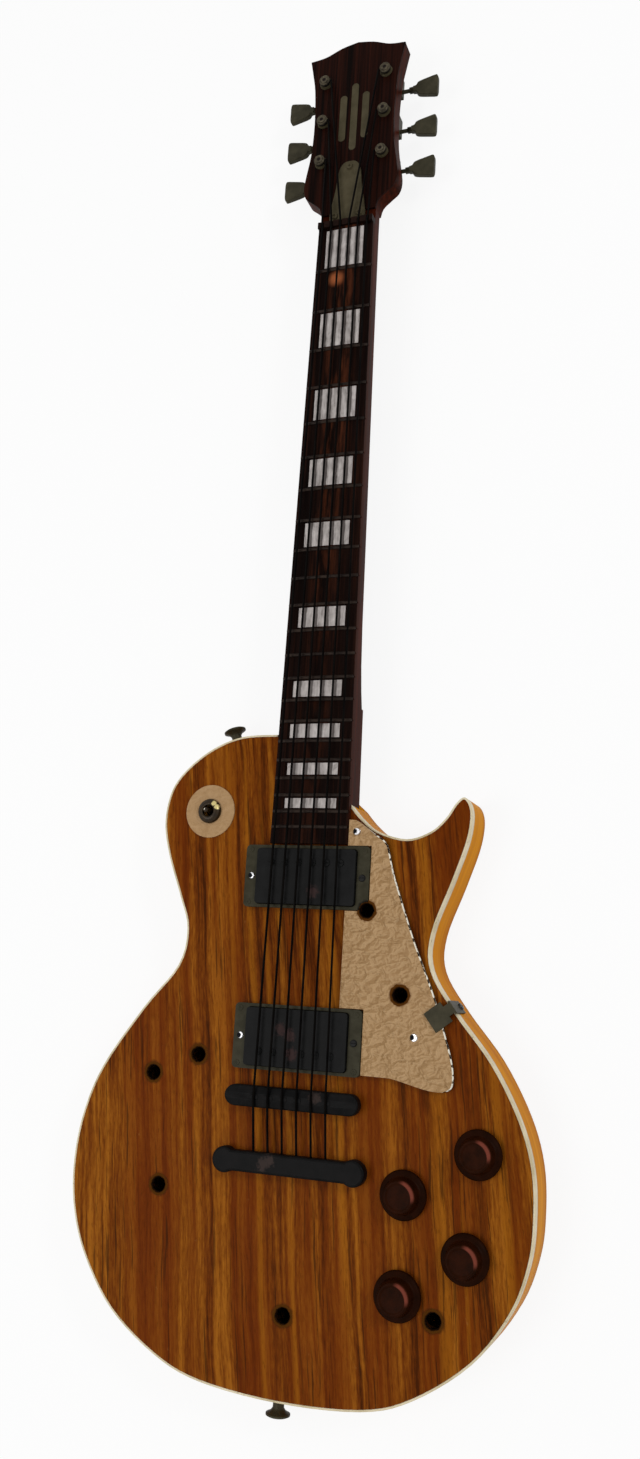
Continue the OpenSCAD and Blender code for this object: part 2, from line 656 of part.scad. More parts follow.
// ---------- Screws ----------
module pole_screws() {
    color(gunmetal) for (p = pickups, k = [0 : 5])
        translate([bridge_x(k), p[0] + p[1] * pole_off, cover_foot_z - plate_t]) difference() {
            union() {
                cylinder(r = pole_shank_r, h = cover_h + 9);
                translate([0, 0, cover_h + 9]) cylinder(r = pole_r, h = 2);
            }
            translate([-3, -0.35, cover_h + 10.3]) cube([6, 0.7, 2]);
        }
}
module pickup_height_screws() {
    color("gray") for (p = pickups, x = [-height_x, height_x]) translate([x, p[0], top_z + ring_h]) {
        difference() {
            cylinder(r1 = 2.4, r2 = 1.8, h = 1.2);
            translate([-3, -0.3, 0.6]) cube([6, 0.6, 2]);
        }
        translate([0, 0, -ring_h - 14]) cylinder(r = height_r, h = ring_h + 14);
    }
}
module trim_screws() {
    color("gray") {
        for (p = pickups, q = ring_screw_places(p[0])) if (norm(q - burn_places[0]) > burn_r + screw_head_r)
            translate([q[0], q[1], top_z + ring_h]) wood_screw(ring_head[0], ring_head[1]);
        for (p = guard_screw_places) translate([p[0], p[1], top_z + guard_lift + guard_t]) wood_screw();
        for (p = rod_cover_screws) translate([p[0], p[1], face_z + rod_cover_t]) wood_screw();
        for (p = concat(control_screws, switch_screws))
            translate([p[0], p[1], screw_head_h]) mirror([0, 0, 1]) wood_screw();
        at_bracket_screw() wood_screw();
    }
}

// ---------- Bridge and tailpiece ----------
bar_foot = 2.6;
bar_crest = bar_top - 0.3;                        // the bar itself is lower than its saddles
saddle_d = 3.6;                                   // depth of a saddle's seat in the bar
bar_fall = 1.5;                                   // how far the bar's edges lie below its crest
bar_flat = 2;                                     // half the width of its flat crest
post_stud_r = 2.4;
saddle = [5.4, 3.4];
wheel_t = 1.4;
module bridge_bar() {
    color(gunmetal) difference() {
        intersection() {
            translate([0, 0, top_z + bar_foot]) linear_extrude(bar_crest - bar_foot) stadium(bar_l, bar_w);
            translate([0, 0, top_z]) rotate([90, 0, 90]) linear_extrude(bar_l + 2, center = true)
                polygon([
                    [-bar_w, bar_foot - 1], [bar_w, bar_foot - 1], [bar_w / 2 + 1, bar_crest - bar_fall],
                    [bar_flat, bar_crest], [-bar_flat, bar_crest], [-bar_w / 2 - 1, bar_crest - bar_fall]
                ]);
        }
        for (p = bridge_studs) translate([p[0], p[1], top_z])
            cylinder(r = post_stud_r + run_clear, h = bar_crest - 1);
        for (k = [0 : 5]) translate([bridge_x(k), 0, top_z + bar_crest])
            cube([saddle[0] + 2 * skin_gap, saddle[1] + 2 * skin_gap, 2 * saddle_d], center = true);
    }
}
module bridge_saddles() {
    color(gunmetal) for (k = [0 : 5]) translate([bridge_x(k), 0, top_z + bar_crest - saddle_d])
        rotate([90, 0, 90]) linear_extrude(saddle[0], center = true)
            polygon([
                [-saddle[1] / 2, 0], [saddle[1] / 2, 0], [saddle[1] / 2, saddle_d],
                [1, bar_top - bar_crest + saddle_d], [-1, bar_top - bar_crest + saddle_d],
                [-saddle[1] / 2, saddle_d]
            ]);
}
module bridge_posts() {
    color(gunmetal) for (p = bridge_studs) translate([p[0], p[1], top_z]) {
        translate([0, 0, -bushing_l + 3]) cylinder(r = post_stud_r, h = bushing_l - 3 + bar_crest - 1.5);
        translate([0, 0, bar_foot - wheel_t]) cylinder(r = 5.5, h = wheel_t);
    }
}
module anchor_bushings() {
    color("gray") for (p = anchors) translate([p[0], p[1], top_z - bushing_l]) difference() {
        cylinder(r = bushing_r - skin_gap, h = bushing_l + 0.8);
        translate([0, 0, 2]) cylinder(r = (p[1] == 0 ? post_stud_r : tail_stud_r) + run_clear, h = bushing_l);
    }
}
tail_foot = 2;
tail_crest = 8.6;
tail_w = 13;
lobe_r = 8.2;
tail_stud_r = 3;
lobe_skin = 1.6;                                  // metal left over the top of each stud
ball_stop = 3.2;                                  // from the middle to the shoulder for the ball ends
module tailpiece() {
    color(gunmetal) difference() {
        translate([0, -tail_y, top_z + tail_foot]) linear_extrude(tail_crest - tail_foot) {
            square([tail_l - 2 * lobe_r, tail_w], center = true);
            for (x = [-1, 1]) translate([x * (tail_l / 2 - lobe_r), 0]) circle(lobe_r);
        }
        for (p = tail_studs) translate([p[0], p[1], top_z])
            cylinder(r = tail_stud_r + run_clear, h = tail_crest - lobe_skin);
        for (k = [0 : 5]) translate([bridge_x(k), -tail_y - 20, tail_hole_z]) rotate([-90, 0, 0]) {
            cylinder(r = string_d(k) / 2 + 0.3, h = 40);
            cylinder(r = norm([ball_r, ball_t / 2]) + 0.2, h = 20 - ball_stop);
        }
    }
}
module tailpiece_studs() {
    color(gunmetal) for (p = tail_studs) translate([p[0], p[1], top_z]) {
        translate([0, 0, 3 - bushing_l])
            cylinder(r = tail_stud_r, h = bushing_l - 3 + tail_crest - lobe_skin - skin_gap);
        translate([0, 0, 0.9]) cylinder(r = 6, h = tail_foot - 0.9);
    }
}
ball_r = 1.5;
ball_t = 2;
module strings() {
    color([0.10, 0.10, 0.10]) for (k = [0 : 5]) {
        route = string_route(k);
        tube(route, string_d(k) / 2);
        translate([bridge_x(k), -tail_y - ball_stop - gap - ball_r, tail_hole_z]) rotate([0, 90, 0])
            cylinder(r = ball_r, h = ball_t, center = true);
    }
}

// ---------- Pickguard ----------
guard_t = 2.2;
guard_lift = 1.6;
guard_seam = 0.5;                                 // beside the rings and the fretboard
ring_x = ring_l / 2 + guard_seam;
board_x = board_w(board_end_y) / 2 + guard_seam;
function ring_edge(y, s) = y + s * (ring_w / 2 + guard_seam);
guard_edge = [
    [64, 18.2], [72, 16.6], [half_waist - 3, 13.8], [half_waist + 6, 12.4], [half_waist + 14, 12.8],
    [half_waist + 18, 16], [half_waist + 18.5, 24], [half_waist + 16.5, 34], [half_waist + 13, 45],
    [half_waist + 5.5, 67], [half_waist - 2, 85], [half_waist - 9, 101], [half_waist - 16, 119],
    [half_waist - 21.5, 134], [half_waist - 26, 147], [57.6, 158], [55.6, 165]
];
guard_outline = concat(
    [
        [board_x, 181.5], [board_x, ring_edge(neck_pickup_y, 1)], [ring_x, ring_edge(neck_pickup_y, 1)],
        [ring_x, ring_edge(neck_pickup_y, -1)], [board_x, ring_edge(neck_pickup_y, -1)],
        [board_x, ring_edge(bridge_pickup_y, 1)], [ring_x, ring_edge(bridge_pickup_y, 1)], [ring_x, 18.4]
    ],
    smooth_open(guard_edge, 3),
    [[52.6, 168.4], [47, 172], [36, 179.6], [33, 181.2]]
);
module pickguard() {
    color(tan_plastic) difference() {
        translate([0, 0, top_z + guard_lift]) linear_extrude(guard_t) polygon(guard_outline);
        for (p = guard_screw_places) translate([p[0], p[1], top_z + guard_lift + guard_t]) screw_hole();
        burn_holes();
    }
}
module guard_spacers() {
    color("gray") for (p = guard_screw_places) translate([p[0], p[1], top_z]) difference() {
        cylinder(r = 3, h = guard_lift);
        translate([0, 0, -1]) cylinder(r = screw_r + skin_gap, h = guard_lift + 2);
    }
}
bracket_t = 1.4;
bracket_drop = 18;                                // its foot's reach down the side
guard_top = guard_lift + guard_t;
module guard_bracket() {
    color(olive_metal) difference() {
        at_bracket() {
            translate([-17, -7, guard_top]) cube([13, 14, bracket_t]);
            translate([-5, -3.5, guard_top]) cube([5 + bracket_t, 7, bracket_t]);
            translate([0, -4.5, -bracket_drop]) cube([bracket_t, 9, guard_top + bracket_drop + bracket_t]);
        }
        at_bracket_screw() screw_hole();
    }
}

// ---------- Controls ----------
shaft_top = knob_h - 2;
module knob(i) {
    p = pot_places[i];
    color(brown_plastic) translate([p[0], p[1], top_z]) difference() {
        union() {
            translate([0, 0, pot_nut_h + gap]) cylinder(r1 = knob_r, r2 = knob_r * 0.93, h = 3);
            translate([0, 0, pot_nut_h + gap + 3])
                cylinder(r1 = knob_r * 0.8, r2 = knob_r * 0.66, h = knob_h - pot_nut_h - gap - 3);
        }
        cylinder(r = shaft_d / 2 + skin_gap, h = shaft_top + 0.2);
    }
    color("silver") translate([p[0], p[1], cap_z - 3.5]) cylinder(d = shaft_d, h = shaft_top + cap_t + 3.5);
}
pot_nut_h = 1.6;
pot_r = 12;
module pots() {
    color("silver") for (p = pot_places) translate([p[0], p[1], 0]) difference() {
        union() {
            translate([0, 0, cap_z - 9]) cylinder(r = pot_r, h = 9);
            translate([0, 0, cap_z - 1]) cylinder(r = pot_thread_r, h = cap_t + 1 + pot_nut_h);
            translate([0, 0, top_z]) cylinder(r = pot_thread_r + 2.6, h = pot_nut_h, $fn = 6);
        }
        translate([0, 0, cap_z - 4]) cylinder(r = shaft_d / 2 + run_clear, h = cap_t + 10);
    }
}
washer_t = 1;
switch_tube_r = 4.4;
switch_nut_h = 3.4;
switch_nut_r = 8.6;
lever_r = 1.8;
lever_ball_r = 3;
pivot_z = top_z - 5;
pivot_pin_r = 0.8;
lever_top = 9;
module at_switch(z) translate([switch_place[0], switch_place[1], z]) children();
module switch_body() {
    color("darkgoldenrod") difference() {
        union() {
            at_switch(cap_z - 18) linear_extrude(18) square([16, 28], center = true);
            at_switch(cap_z - 1) cylinder(r = switch_thread_r, h = cap_t + washer_t + 3);
        }
        at_switch(cap_z - 16) linear_extrude(17) square([13, 25], center = true);
        at_switch(cap_z - 3) cylinder(r = switch_tube_r, h = 30);
    }
    color("darkgoldenrod") at_switch(pivot_z) rotate([0, 90, 0])
        cylinder(r = pivot_pin_r, h = 2 * switch_tube_r + 1, center = true);
}
module switch_washer() {
    color(cream) at_switch(top_z) difference() {
        cylinder(r = washer_r, h = washer_t);
        translate([0, 0, -1]) cylinder(r = switch_thread_r + 0.2, h = 4);
    }
}
module switch_nut() {
    color("darkgoldenrod") at_switch(top_z + washer_t) difference() {
        union() {
            cylinder(r = switch_nut_r, h = switch_nut_h - 1.2);
            translate([0, 0, switch_nut_h - 1.2])
                cylinder(r1 = switch_nut_r, r2 = switch_nut_r - 1.4, h = 1.2);
        }
        translate([0, 0, -1]) cylinder(r = switch_thread_r + skin_gap, h = 10);
    }
}
module switch_lever() {
    color("darkgoldenrod") at_switch(pivot_z) difference() {
        union() {
            sphere(r = lever_ball_r);
            translate([0, 0, -9]) cylinder(r = lever_r, h = 9 + top_z + lever_top - pivot_z - 1.8);
            translate([0, 0, top_z + lever_top - pivot_z - 1.8]) sphere(r = lever_r);
        }
        rotate([0, 90, 0]) cylinder(r = pivot_pin_r + run_clear, h = 20, center = true);
    }
}
module output_jack() {
    color("silver") at_jack() difference() {
        union() {
            translate([0, 0, -jack_l]) cylinder(r = jack_r, h = jack_l + 3);
            cylinder(r = 7, h = 2, $fn = 6);
            translate([0, 0, -jack_l]) cylinder(r = jack_body_r, h = jack_l - ferrule_t - 5);
        }
        translate([0, 0, -jack_l + 2]) cylinder(r = jack_hole_r, h = 60);
    }
}
module jack_ferrule() {
    color("silver") at_jack() difference() {
        translate([0, 0, -ferrule_t]) cylinder(r = ferrule_r, h = ferrule_t);
        translate([0, 0, -5]) cylinder(r = jack_r + skin_gap, h = 10);
    }
}
module control_cover() {
    color(black_plastic) difference() {
        linear_extrude(cover_t) control_plan(cover_lip);
        for (p = control_screws) translate([p[0], p[1], screw_head_h]) mirror([0, 0, 1]) cover_screw_seat();
    }
}
// A screw's hole, and the seat that sinks its head.
module cover_screw_seat() {
    translate([0, 0, -5]) cylinder(r = screw_r + skin_gap, h = 10);
    cylinder(r = screw_head_r + skin_gap, h = 5);
}
module switch_cover() {
    color(black_plastic) difference() {
        at_switch(0) cylinder(r = switch_room + cover_lip, h = cover_t);
        for (p = switch_screws) translate([p[0], p[1], screw_head_h]) mirror([0, 0, 1]) cover_screw_seat();
    }
}

// ---------- Strap buttons ----------
strap_screw_r = 1.9;
strap_screw_l = 22;
strap_h = 13;
strap_profile = [
    [0, 0], [5.4, 0], [5, 2], [3.6, 5], [3.6, 8], [5, 10],
    [7.8, strap_h - 1.6], [7.8, strap_h - 0.6], [6.6, strap_h], [0, strap_h]
];
module strap_buttons() {
    color(olive_metal) for (i = [0, 1]) at_strap(i) difference() {
        rotate_extrude() polygon(strap_profile);
        translate([0, 0, -1]) cylinder(r = strap_screw_r + skin_gap, h = 20);
        translate([0, 0, strap_h - 1.6]) cylinder(r = 3.6, h = 5);
    }
}
module strap_screws() {
    color("gray") for (i = [0, 1]) at_strap(i) difference() {
        union() {
            translate([0, 0, 0.5 - strap_screw_l])
                cylinder(r = strap_screw_r, h = strap_screw_l + strap_h - 1);
            translate([0, 0, strap_h - 1.6]) cylinder(r1 = 3.4, r2 = 2.8, h = 1.8);
        }
        for (a = [0, 90]) rotate(a) translate([-2, -0.4, strap_h - 0.6]) cube([4, 0.8, 3]);
    }
}

// ---------- Tuners ----------
gear_r = post_d / 2 + 0.8;
worm_r = 1.7;
worm_off = -(gear_r + worm_r + 0.25);
housing_h = 9;
worm_z = head_back_z - 4.6;
pin_r = 1.5;
housing_x = 7.4;
module at_tuner(k) translate([post_x(k), post_y(k), 0]) children();
module tuner_housings() {
    color(olive_metal) for (k = [0 : 5]) at_tuner(k) difference() {
        translate([-housing_x, worm_off - 3.4, head_back_z - housing_h])
            cube([2 * housing_x, 6.2 + 3.4 - worm_off, housing_h]);
        translate([-housing_x + 1.4, worm_off - 2.2, head_back_z - housing_h + 1.4])
            cube([2 * housing_x - 2.8, 5 + 2.2 - worm_off, housing_h - 2.4]);
        translate([0, 0, head_back_z - housing_h - 1]) cylinder(r = 2 + run_clear, h = 4);
        translate([0, 0, head_back_z - 3]) cylinder(r = post_d / 2 + run_clear, h = 6);
        translate([0, worm_off, worm_z]) rotate([0, 90, 0])
            cylinder(r = pin_r + run_clear, h = 40, center = true);
    }
}
flange_t = 1.2;
module tuner_bushings() {
    color(olive_metal) for (k = [0 : 5]) at_tuner(k) difference() {
        union() {
            translate([0, 0, face_z]) cylinder(r1 = bearing_r + 0.7, r2 = bearing_r + 0.4, h = flange_t);
            translate([0, 0, head_back_z]) cylinder(r = bearing_r, h = head_t + veneer_t + eps);
        }
        translate([0, 0, head_back_z - 1]) cylinder(r = post_d / 2 + run_clear, h = 30);
    }
}
button_start = head_half_w + 2.5 - post_half;     // from the post to the paddle
paddle_side = [
    [0, 2.4], [2.2, 2.8], [3.6, 5], [6.5, 6.2], [12, 7.4], [17.6, 8.5], [19.2, 7.8], [19.8, 5], [19.8, 0]
];
module tuner_button(k) {
    half = smooth_open(paddle_side, 3);
    paddle = concat(
        [for (i = [0 : len(half) - 1]) [half[i][0], -half[i][1]]],
        [for (i = [len(half) - 2 : -1 : 0]) half[i]]
    );
    color(olive_metal) at_tuner(k) translate([0, worm_off, worm_z]) mirror([side(k) < 0 ? 1 : 0, 0, 0]) {
        translate([-housing_x, 0, 0]) rotate([0, 90, 0])
            cylinder(r = pin_r, h = housing_x + button_start + 1);
        translate([1.8 - housing_x, 0, 0]) rotate([0, 90, 0])
            cylinder(r = worm_r, h = 2 * housing_x - 3.6);
        translate([button_start - 3, 0, 0]) rotate([0, 90, 0]) cylinder(r = 2.4, h = 4);
        translate([button_start, 0, 0]) linear_extrude(4.8, center = true) polygon(paddle);
    }
}
post_h = 5.4;
module tuner_post(k) {
    color("silver") at_tuner(k) difference() {
        union() {
            translate([0, 0, head_back_z - housing_h + 0.3]) cylinder(r = 2, h = 3);
            translate([0, 0, head_back_z - housing_h + 1.7]) cylinder(r = gear_r, h = 4.4);
            translate([0, 0, head_back_z - housing_h + 2])
                cylinder(d = post_d, h = housing_h - 2 + head_t + veneer_t + post_h);
        }
        translate([0, 0, face_z + post_h - 2.2]) rotate([0, 90, 0]) cylinder(r = 0.9, h = 20, center = true);
    }
    color([0.10, 0.10, 0.10]) at_tuner(k) translate([0, 0, wind_z]) rotate_extrude()
        for (turn = [-1, 0, 1])
            translate([post_d / 2 + skin_gap + wind_r, turn * wind_pitch]) circle(wind_r, $fn = 16);
}

body_back();
body_top();
body_binding();
neck();
truss_rod();
headstock_face();
headstock_ornament();
truss_rod_cover();
fretboard();
frets();
fret_markers();
nut();
pickup_ring(neck_pickup_y);  // neck_pickup_ring
pickup_ring(bridge_pickup_y);  // bridge_pickup_ring
pickup_cover(neck_pickup_y, 1);  // neck_pickup_cover
pickup_cover(bridge_pickup_y, -1);  // bridge_pickup_cover
pickup_coils(neck_pickup_y, 1);  // neck_pickup_coils
pickup_coils(bridge_pickup_y, -1);  // bridge_pickup_coils
pole_screws();
pickup_height_screws();
trim_screws();
bridge_bar();
bridge_saddles();
bridge_posts();
anchor_bushings();
tailpiece();
tailpiece_studs();
pickguard();
guard_spacers();
guard_bracket();
knob(0);  // neck_volume_knob
knob(1);  // bridge_volume_knob
knob(2);  // neck_tone_knob
knob(3);  // bridge_tone_knob
pots();
switch_body();
switch_washer();
switch_nut();
switch_lever();
output_jack();
jack_ferrule();
control_cover();
switch_cover();
strap_buttons();
strap_screws();
tuner_housings();
tuner_bushings();
tuner_button(0);  // tuner_button_1
tuner_button(1);  // tuner_button_2
tuner_button(2);  // tuner_button_3
tuner_button(3);  // tuner_button_4
tuner_button(4);  // tuner_button_5
tuner_button(5);  // tuner_button_6
tuner_post(0);  // tuner_post_1
tuner_post(1);  // tuner_post_2
tuner_post(2);  // tuner_post_3
tuner_post(3);  // tuner_post_4
tuner_post(4);  // tuner_post_5
tuner_post(5);  // tuner_post_6
strings();
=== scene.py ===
"""Looks for an old electric guitar: striped top, cream edge, dulled fittings and burnt holes."""

import json
import math
import random

import bmesh
import bpy
from mathutils import Matrix, Vector


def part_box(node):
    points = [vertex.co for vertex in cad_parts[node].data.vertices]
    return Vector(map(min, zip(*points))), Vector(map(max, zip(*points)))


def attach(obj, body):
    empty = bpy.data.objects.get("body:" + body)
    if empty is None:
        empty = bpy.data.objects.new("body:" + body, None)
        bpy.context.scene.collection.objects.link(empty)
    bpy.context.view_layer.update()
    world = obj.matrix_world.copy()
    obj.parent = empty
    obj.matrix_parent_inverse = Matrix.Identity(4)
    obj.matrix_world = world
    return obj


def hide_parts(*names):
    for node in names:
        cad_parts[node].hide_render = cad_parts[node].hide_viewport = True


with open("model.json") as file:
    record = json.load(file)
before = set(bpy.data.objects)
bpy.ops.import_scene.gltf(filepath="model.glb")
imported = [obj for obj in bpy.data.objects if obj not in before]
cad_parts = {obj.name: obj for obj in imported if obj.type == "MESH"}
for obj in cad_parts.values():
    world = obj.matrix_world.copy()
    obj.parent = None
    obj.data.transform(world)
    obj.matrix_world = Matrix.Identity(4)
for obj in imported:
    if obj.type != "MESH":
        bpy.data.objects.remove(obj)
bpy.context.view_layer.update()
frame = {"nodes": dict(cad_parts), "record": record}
nodes = frame["nodes"]
BODY_OF = {node: body for body, members in frame["record"]["behaviour"]["bodies"].items()
           for node in members}

# Places and sizes are in millimetres from here on, and MM turns them into the frame's metres.
MM = 0.001
FACE_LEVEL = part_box("body_top")[1].z / MM
GLUE_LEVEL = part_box("body_binding")[0].z / MM + 0.4
GUARD_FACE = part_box("pickguard")[1].z / MM
BOARD_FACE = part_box("fretboard")[1].z / MM
NUT_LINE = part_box("nut")[0].y / MM


def middle_of(node):
    """The middle of a node's box, seen from above."""
    low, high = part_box(node)
    return (low.x + high.x) / 2 / MM, (low.y + high.y) / 2 / MM


KNOBS = ("neck_volume_knob", "bridge_volume_knob", "neck_tone_knob", "bridge_tone_knob")
KNOB_MIDDLES = [middle_of(knob) for knob in KNOBS]
KNOB_LIP = 9.3                                         # radius of the raised lip on a knob
POSTS = [middle_of("tuner_post_%d" % k) for k in range(1, 7)]
POST_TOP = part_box("tuner_post_1")[1].z / MM
BURNS = ((43.5, 122), (68.5, 69.5), (-71, 23), (-103.5, 9), (-93, -62), (0.5, -130), (97, -119.5))
BURNS_IN_GUARD = 2                                     # the first ones go through the guard
BURN_R = 5.5
BURN_FLOOR = 5                                         # just below the bottom of the holes
GRAIN_LEAN = 0.11                                      # how far the grain drifts sideways per length
GUARD_SCREWS = ((34, 173.5), (79, 44))
RING_SCREWS = ((-39.5, 142.8), (-39.5, 37.8))
SCREW_REACH = 6                                        # beyond the rim of any small screw's head
# Spacing of the strings, for the painted string shadows on the markers.
STRING_PITCH, STRING_SPREAD = 9.9, -2.9 / 628          # at the bridge, and its change along the neck
STRING_MIDDLE = -0.45
WINDING_PITCH = 0.45

# ---------- Camera ----------
CAMERA_PLACE = (0.29991, 0.07028, 0.80413)
CAMERA_TURNS = ((0.0194, "Z"), (-0.36171, "Y"), (-0.22252, "X"))      # radians, from the frame to the camera
camera_data = bpy.data.cameras.new("camera")
camera_data.lens = 30.315
camera_data.clip_start = 0.05
camera_data.clip_end = 50
camera = bpy.data.objects.new("camera", camera_data)
bpy.context.scene.collection.objects.link(camera)
turn = Matrix.Identity(4)
for angle, axis in CAMERA_TURNS:
    turn = turn @ Matrix.Rotation(angle, 4, axis)
camera.matrix_world = Matrix.Translation(CAMERA_PLACE) @ turn.transposed()
bpy.context.scene.camera = camera


# ---------- Finishes ----------
def shade(red, green, blue):
    """A screen colour, 0 to 255, as the linear colour that nodes take."""
    return tuple(((c / 255 + 0.055) / 1.055) ** 2.4 if c > 10 else c / 255 / 12.92
                 for c in (red, green, blue)) + (1.0,)


def scaled(colour, factor, lift=0.0):
    """A linear colour made that many times as bright, and lifted."""
    return tuple(min(1.0, c * factor + lift) for c in colour[:3]) + (1.0,)


class Signal:
    """A value on its way through a finish's nodes, so that sums on it read as sums."""

    def __init__(self, finish, socket):
        self.finish, self.socket = finish, socket

    def math(self, operation, *others):
        return self.finish.node("ShaderNodeMath", {"operation": operation}, dict(enumerate((self,) + others)))

    def __add__(self, other):
        return self.math("ADD", other)

    def __sub__(self, other):
        return self.math("SUBTRACT", other)

    def __mul__(self, other):
        return self.math("MULTIPLY", other)

    def __truediv__(self, other):
        return self.math("DIVIDE", other)

    def __rsub__(self, other):
        """A plain number less this signal."""
        return self.math("MULTIPLY", -1.0).math("ADD", other)

    __radd__ = __add__
    __rmul__ = __mul__


class Finish:
    """One material: its shader's fixed numbers, and the nodes that vary over the surface."""

    def __init__(self, name, roughness=0.5, metallic=0.0, specular=0.5):
        self.material = bpy.data.materials.new(name)
        self.material.use_nodes = True
        self.tree = self.material.node_tree
        self.shader = next(n for n in self.tree.nodes if n.type == "BSDF_PRINCIPLED")
        for socket, value in (("Roughness", roughness), ("Metallic", metallic),
                              ("Specular IOR Level", specular)):
            self.shader.inputs[socket].default_value = value
        self.spot = self.node("ShaderNodeTexCoord", out="Object")

    def node(self, kind, settings=None, sockets=None, out=0):
        """A node of that kind, with its settings made first and then its sockets' values or links."""
        made = self.tree.nodes.new(kind)
        for key, value in (settings or {}).items():
            if key == "stops":
                while len(made.color_ramp.elements) < len(value):
                    made.color_ramp.elements.new(0.5)
                for stop, (position, colour) in zip(made.color_ramp.elements, value):
                    stop.position, stop.color = position, colour
            else:
                setattr(made, key, value)
        for key, value in (sockets or {}).items():
            if isinstance(value, Signal):
                self.tree.links.new(value.socket, made.inputs[key])
            else:
                made.inputs[key].default_value = value
        return Signal(self, made.outputs[out])

    def paint(self, **sockets):
        """Links signals to the shader's sockets."""
        for key, value in sockets.items():
            self.tree.links.new(value.socket, self.shader.inputs[key.replace("_", " ")])
        return self.material

    def moved(self, sizes, offset=(0, 0, 0), at=None):
        """The spot on the piece, measured in steps of those sizes in millimetres along X, Y and Z."""
        return self.node("ShaderNodeVectorMath", {"operation": "MULTIPLY_ADD"},
                         {0: at or self.spot, 1: tuple(1000 / s for s in sizes), 2: offset})

    def shifted(self, sideways):
        """The spot on the piece, moved along X by that many millimetres."""
        return self.node("ShaderNodeCombineXYZ",
                         sockets={0: (self.axis("X") + sideways) * MM, 1: self.axis("Y") * MM,
                                  2: self.axis("Z") * MM})

    def noise(self, sizes, detail=2.0, rough=0.5, distortion=0.0, offset=(0, 0, 0), at=None):
        """A soft cloud whose lumps have about those sizes in millimetres, or one size each way."""
        if isinstance(sizes, (int, float)):
            sizes = (sizes,) * 3
        return self.node("ShaderNodeTexNoise", {"noise_dimensions": "3D"},
                         {"Vector": self.moved(sizes, offset, at), "Scale": 1.0, "Detail": detail,
                          "Roughness": rough, "Distortion": distortion})

    def ease(self, value, low, high, to_low=0.0, to_high=1.0):
        """Goes smoothly from to_low to to_high while value goes from low to high."""
        return self.node("ShaderNodeMapRange", {"interpolation_type": "SMOOTHSTEP"},
                         {"Value": value, "From Min": low, "From Max": high,
                          "To Min": to_low, "To Max": to_high})

    def ramp(self, value, *stops):
        return self.node("ShaderNodeValToRGB", {"stops": stops}, {0: value})

    def mix(self, factor, first, second):
        return self.node("ShaderNodeMix", {"data_type": "RGBA"}, {0: factor, 6: first, 7: second}, out=2)

    def bump(self, height, depth, strength=1.0):
        """A bump whose full height is depth, in millimetres."""
        return self.node("ShaderNodeBump", sockets={"Height": height, "Distance": depth * MM,
                                                    "Strength": strength})

    def axis(self, letter):
        """Where the spot is along X, Y or Z, in millimetres."""
        return self.node("ShaderNodeSeparateXYZ", sockets={0: self.moved((1, 1, 1))}, out=letter)

    def off_line(self, points):
        """Distance in millimetres to the nearest of some upright lines through points (x, y)."""
        flat = self.node("ShaderNodeVectorMath", {"operation": "MULTIPLY"},
                         {0: self.moved((1, 1, 1)), 1: (1, 1, 0)})
        nearest = None
        for x, y in points:
            away = self.node("ShaderNodeVectorMath", {"operation": "DISTANCE"},
                             {0: flat, 1: (x, y, 0)}, out="Value")
            nearest = away if nearest is None else nearest.math("MINIMUM", away)
        return nearest


def charred(finish, colour, roughness, char=shade(7, 5, 3), halo=shade(54, 26, 5), spread=3.0):
    """Darkens a colour towards the burnt holes, with a brown halo round each, and none on the back."""
    away = finish.off_line(BURNS) + (finish.noise(3.2, 3.0) - 0.5) * 2.6
    away = away + finish.ease(finish.axis("Z"), BURN_FLOOR, BURN_FLOOR - 2, 0, 20)
    brown = finish.ease(away, BURN_R + spread, BURN_R + 0.6)
    black = finish.ease(away, BURN_R + 0.9, BURN_R - 0.2)
    colour = finish.mix(black, finish.mix(brown * 0.8, colour, halo), char)
    return colour, roughness + black * 0.3


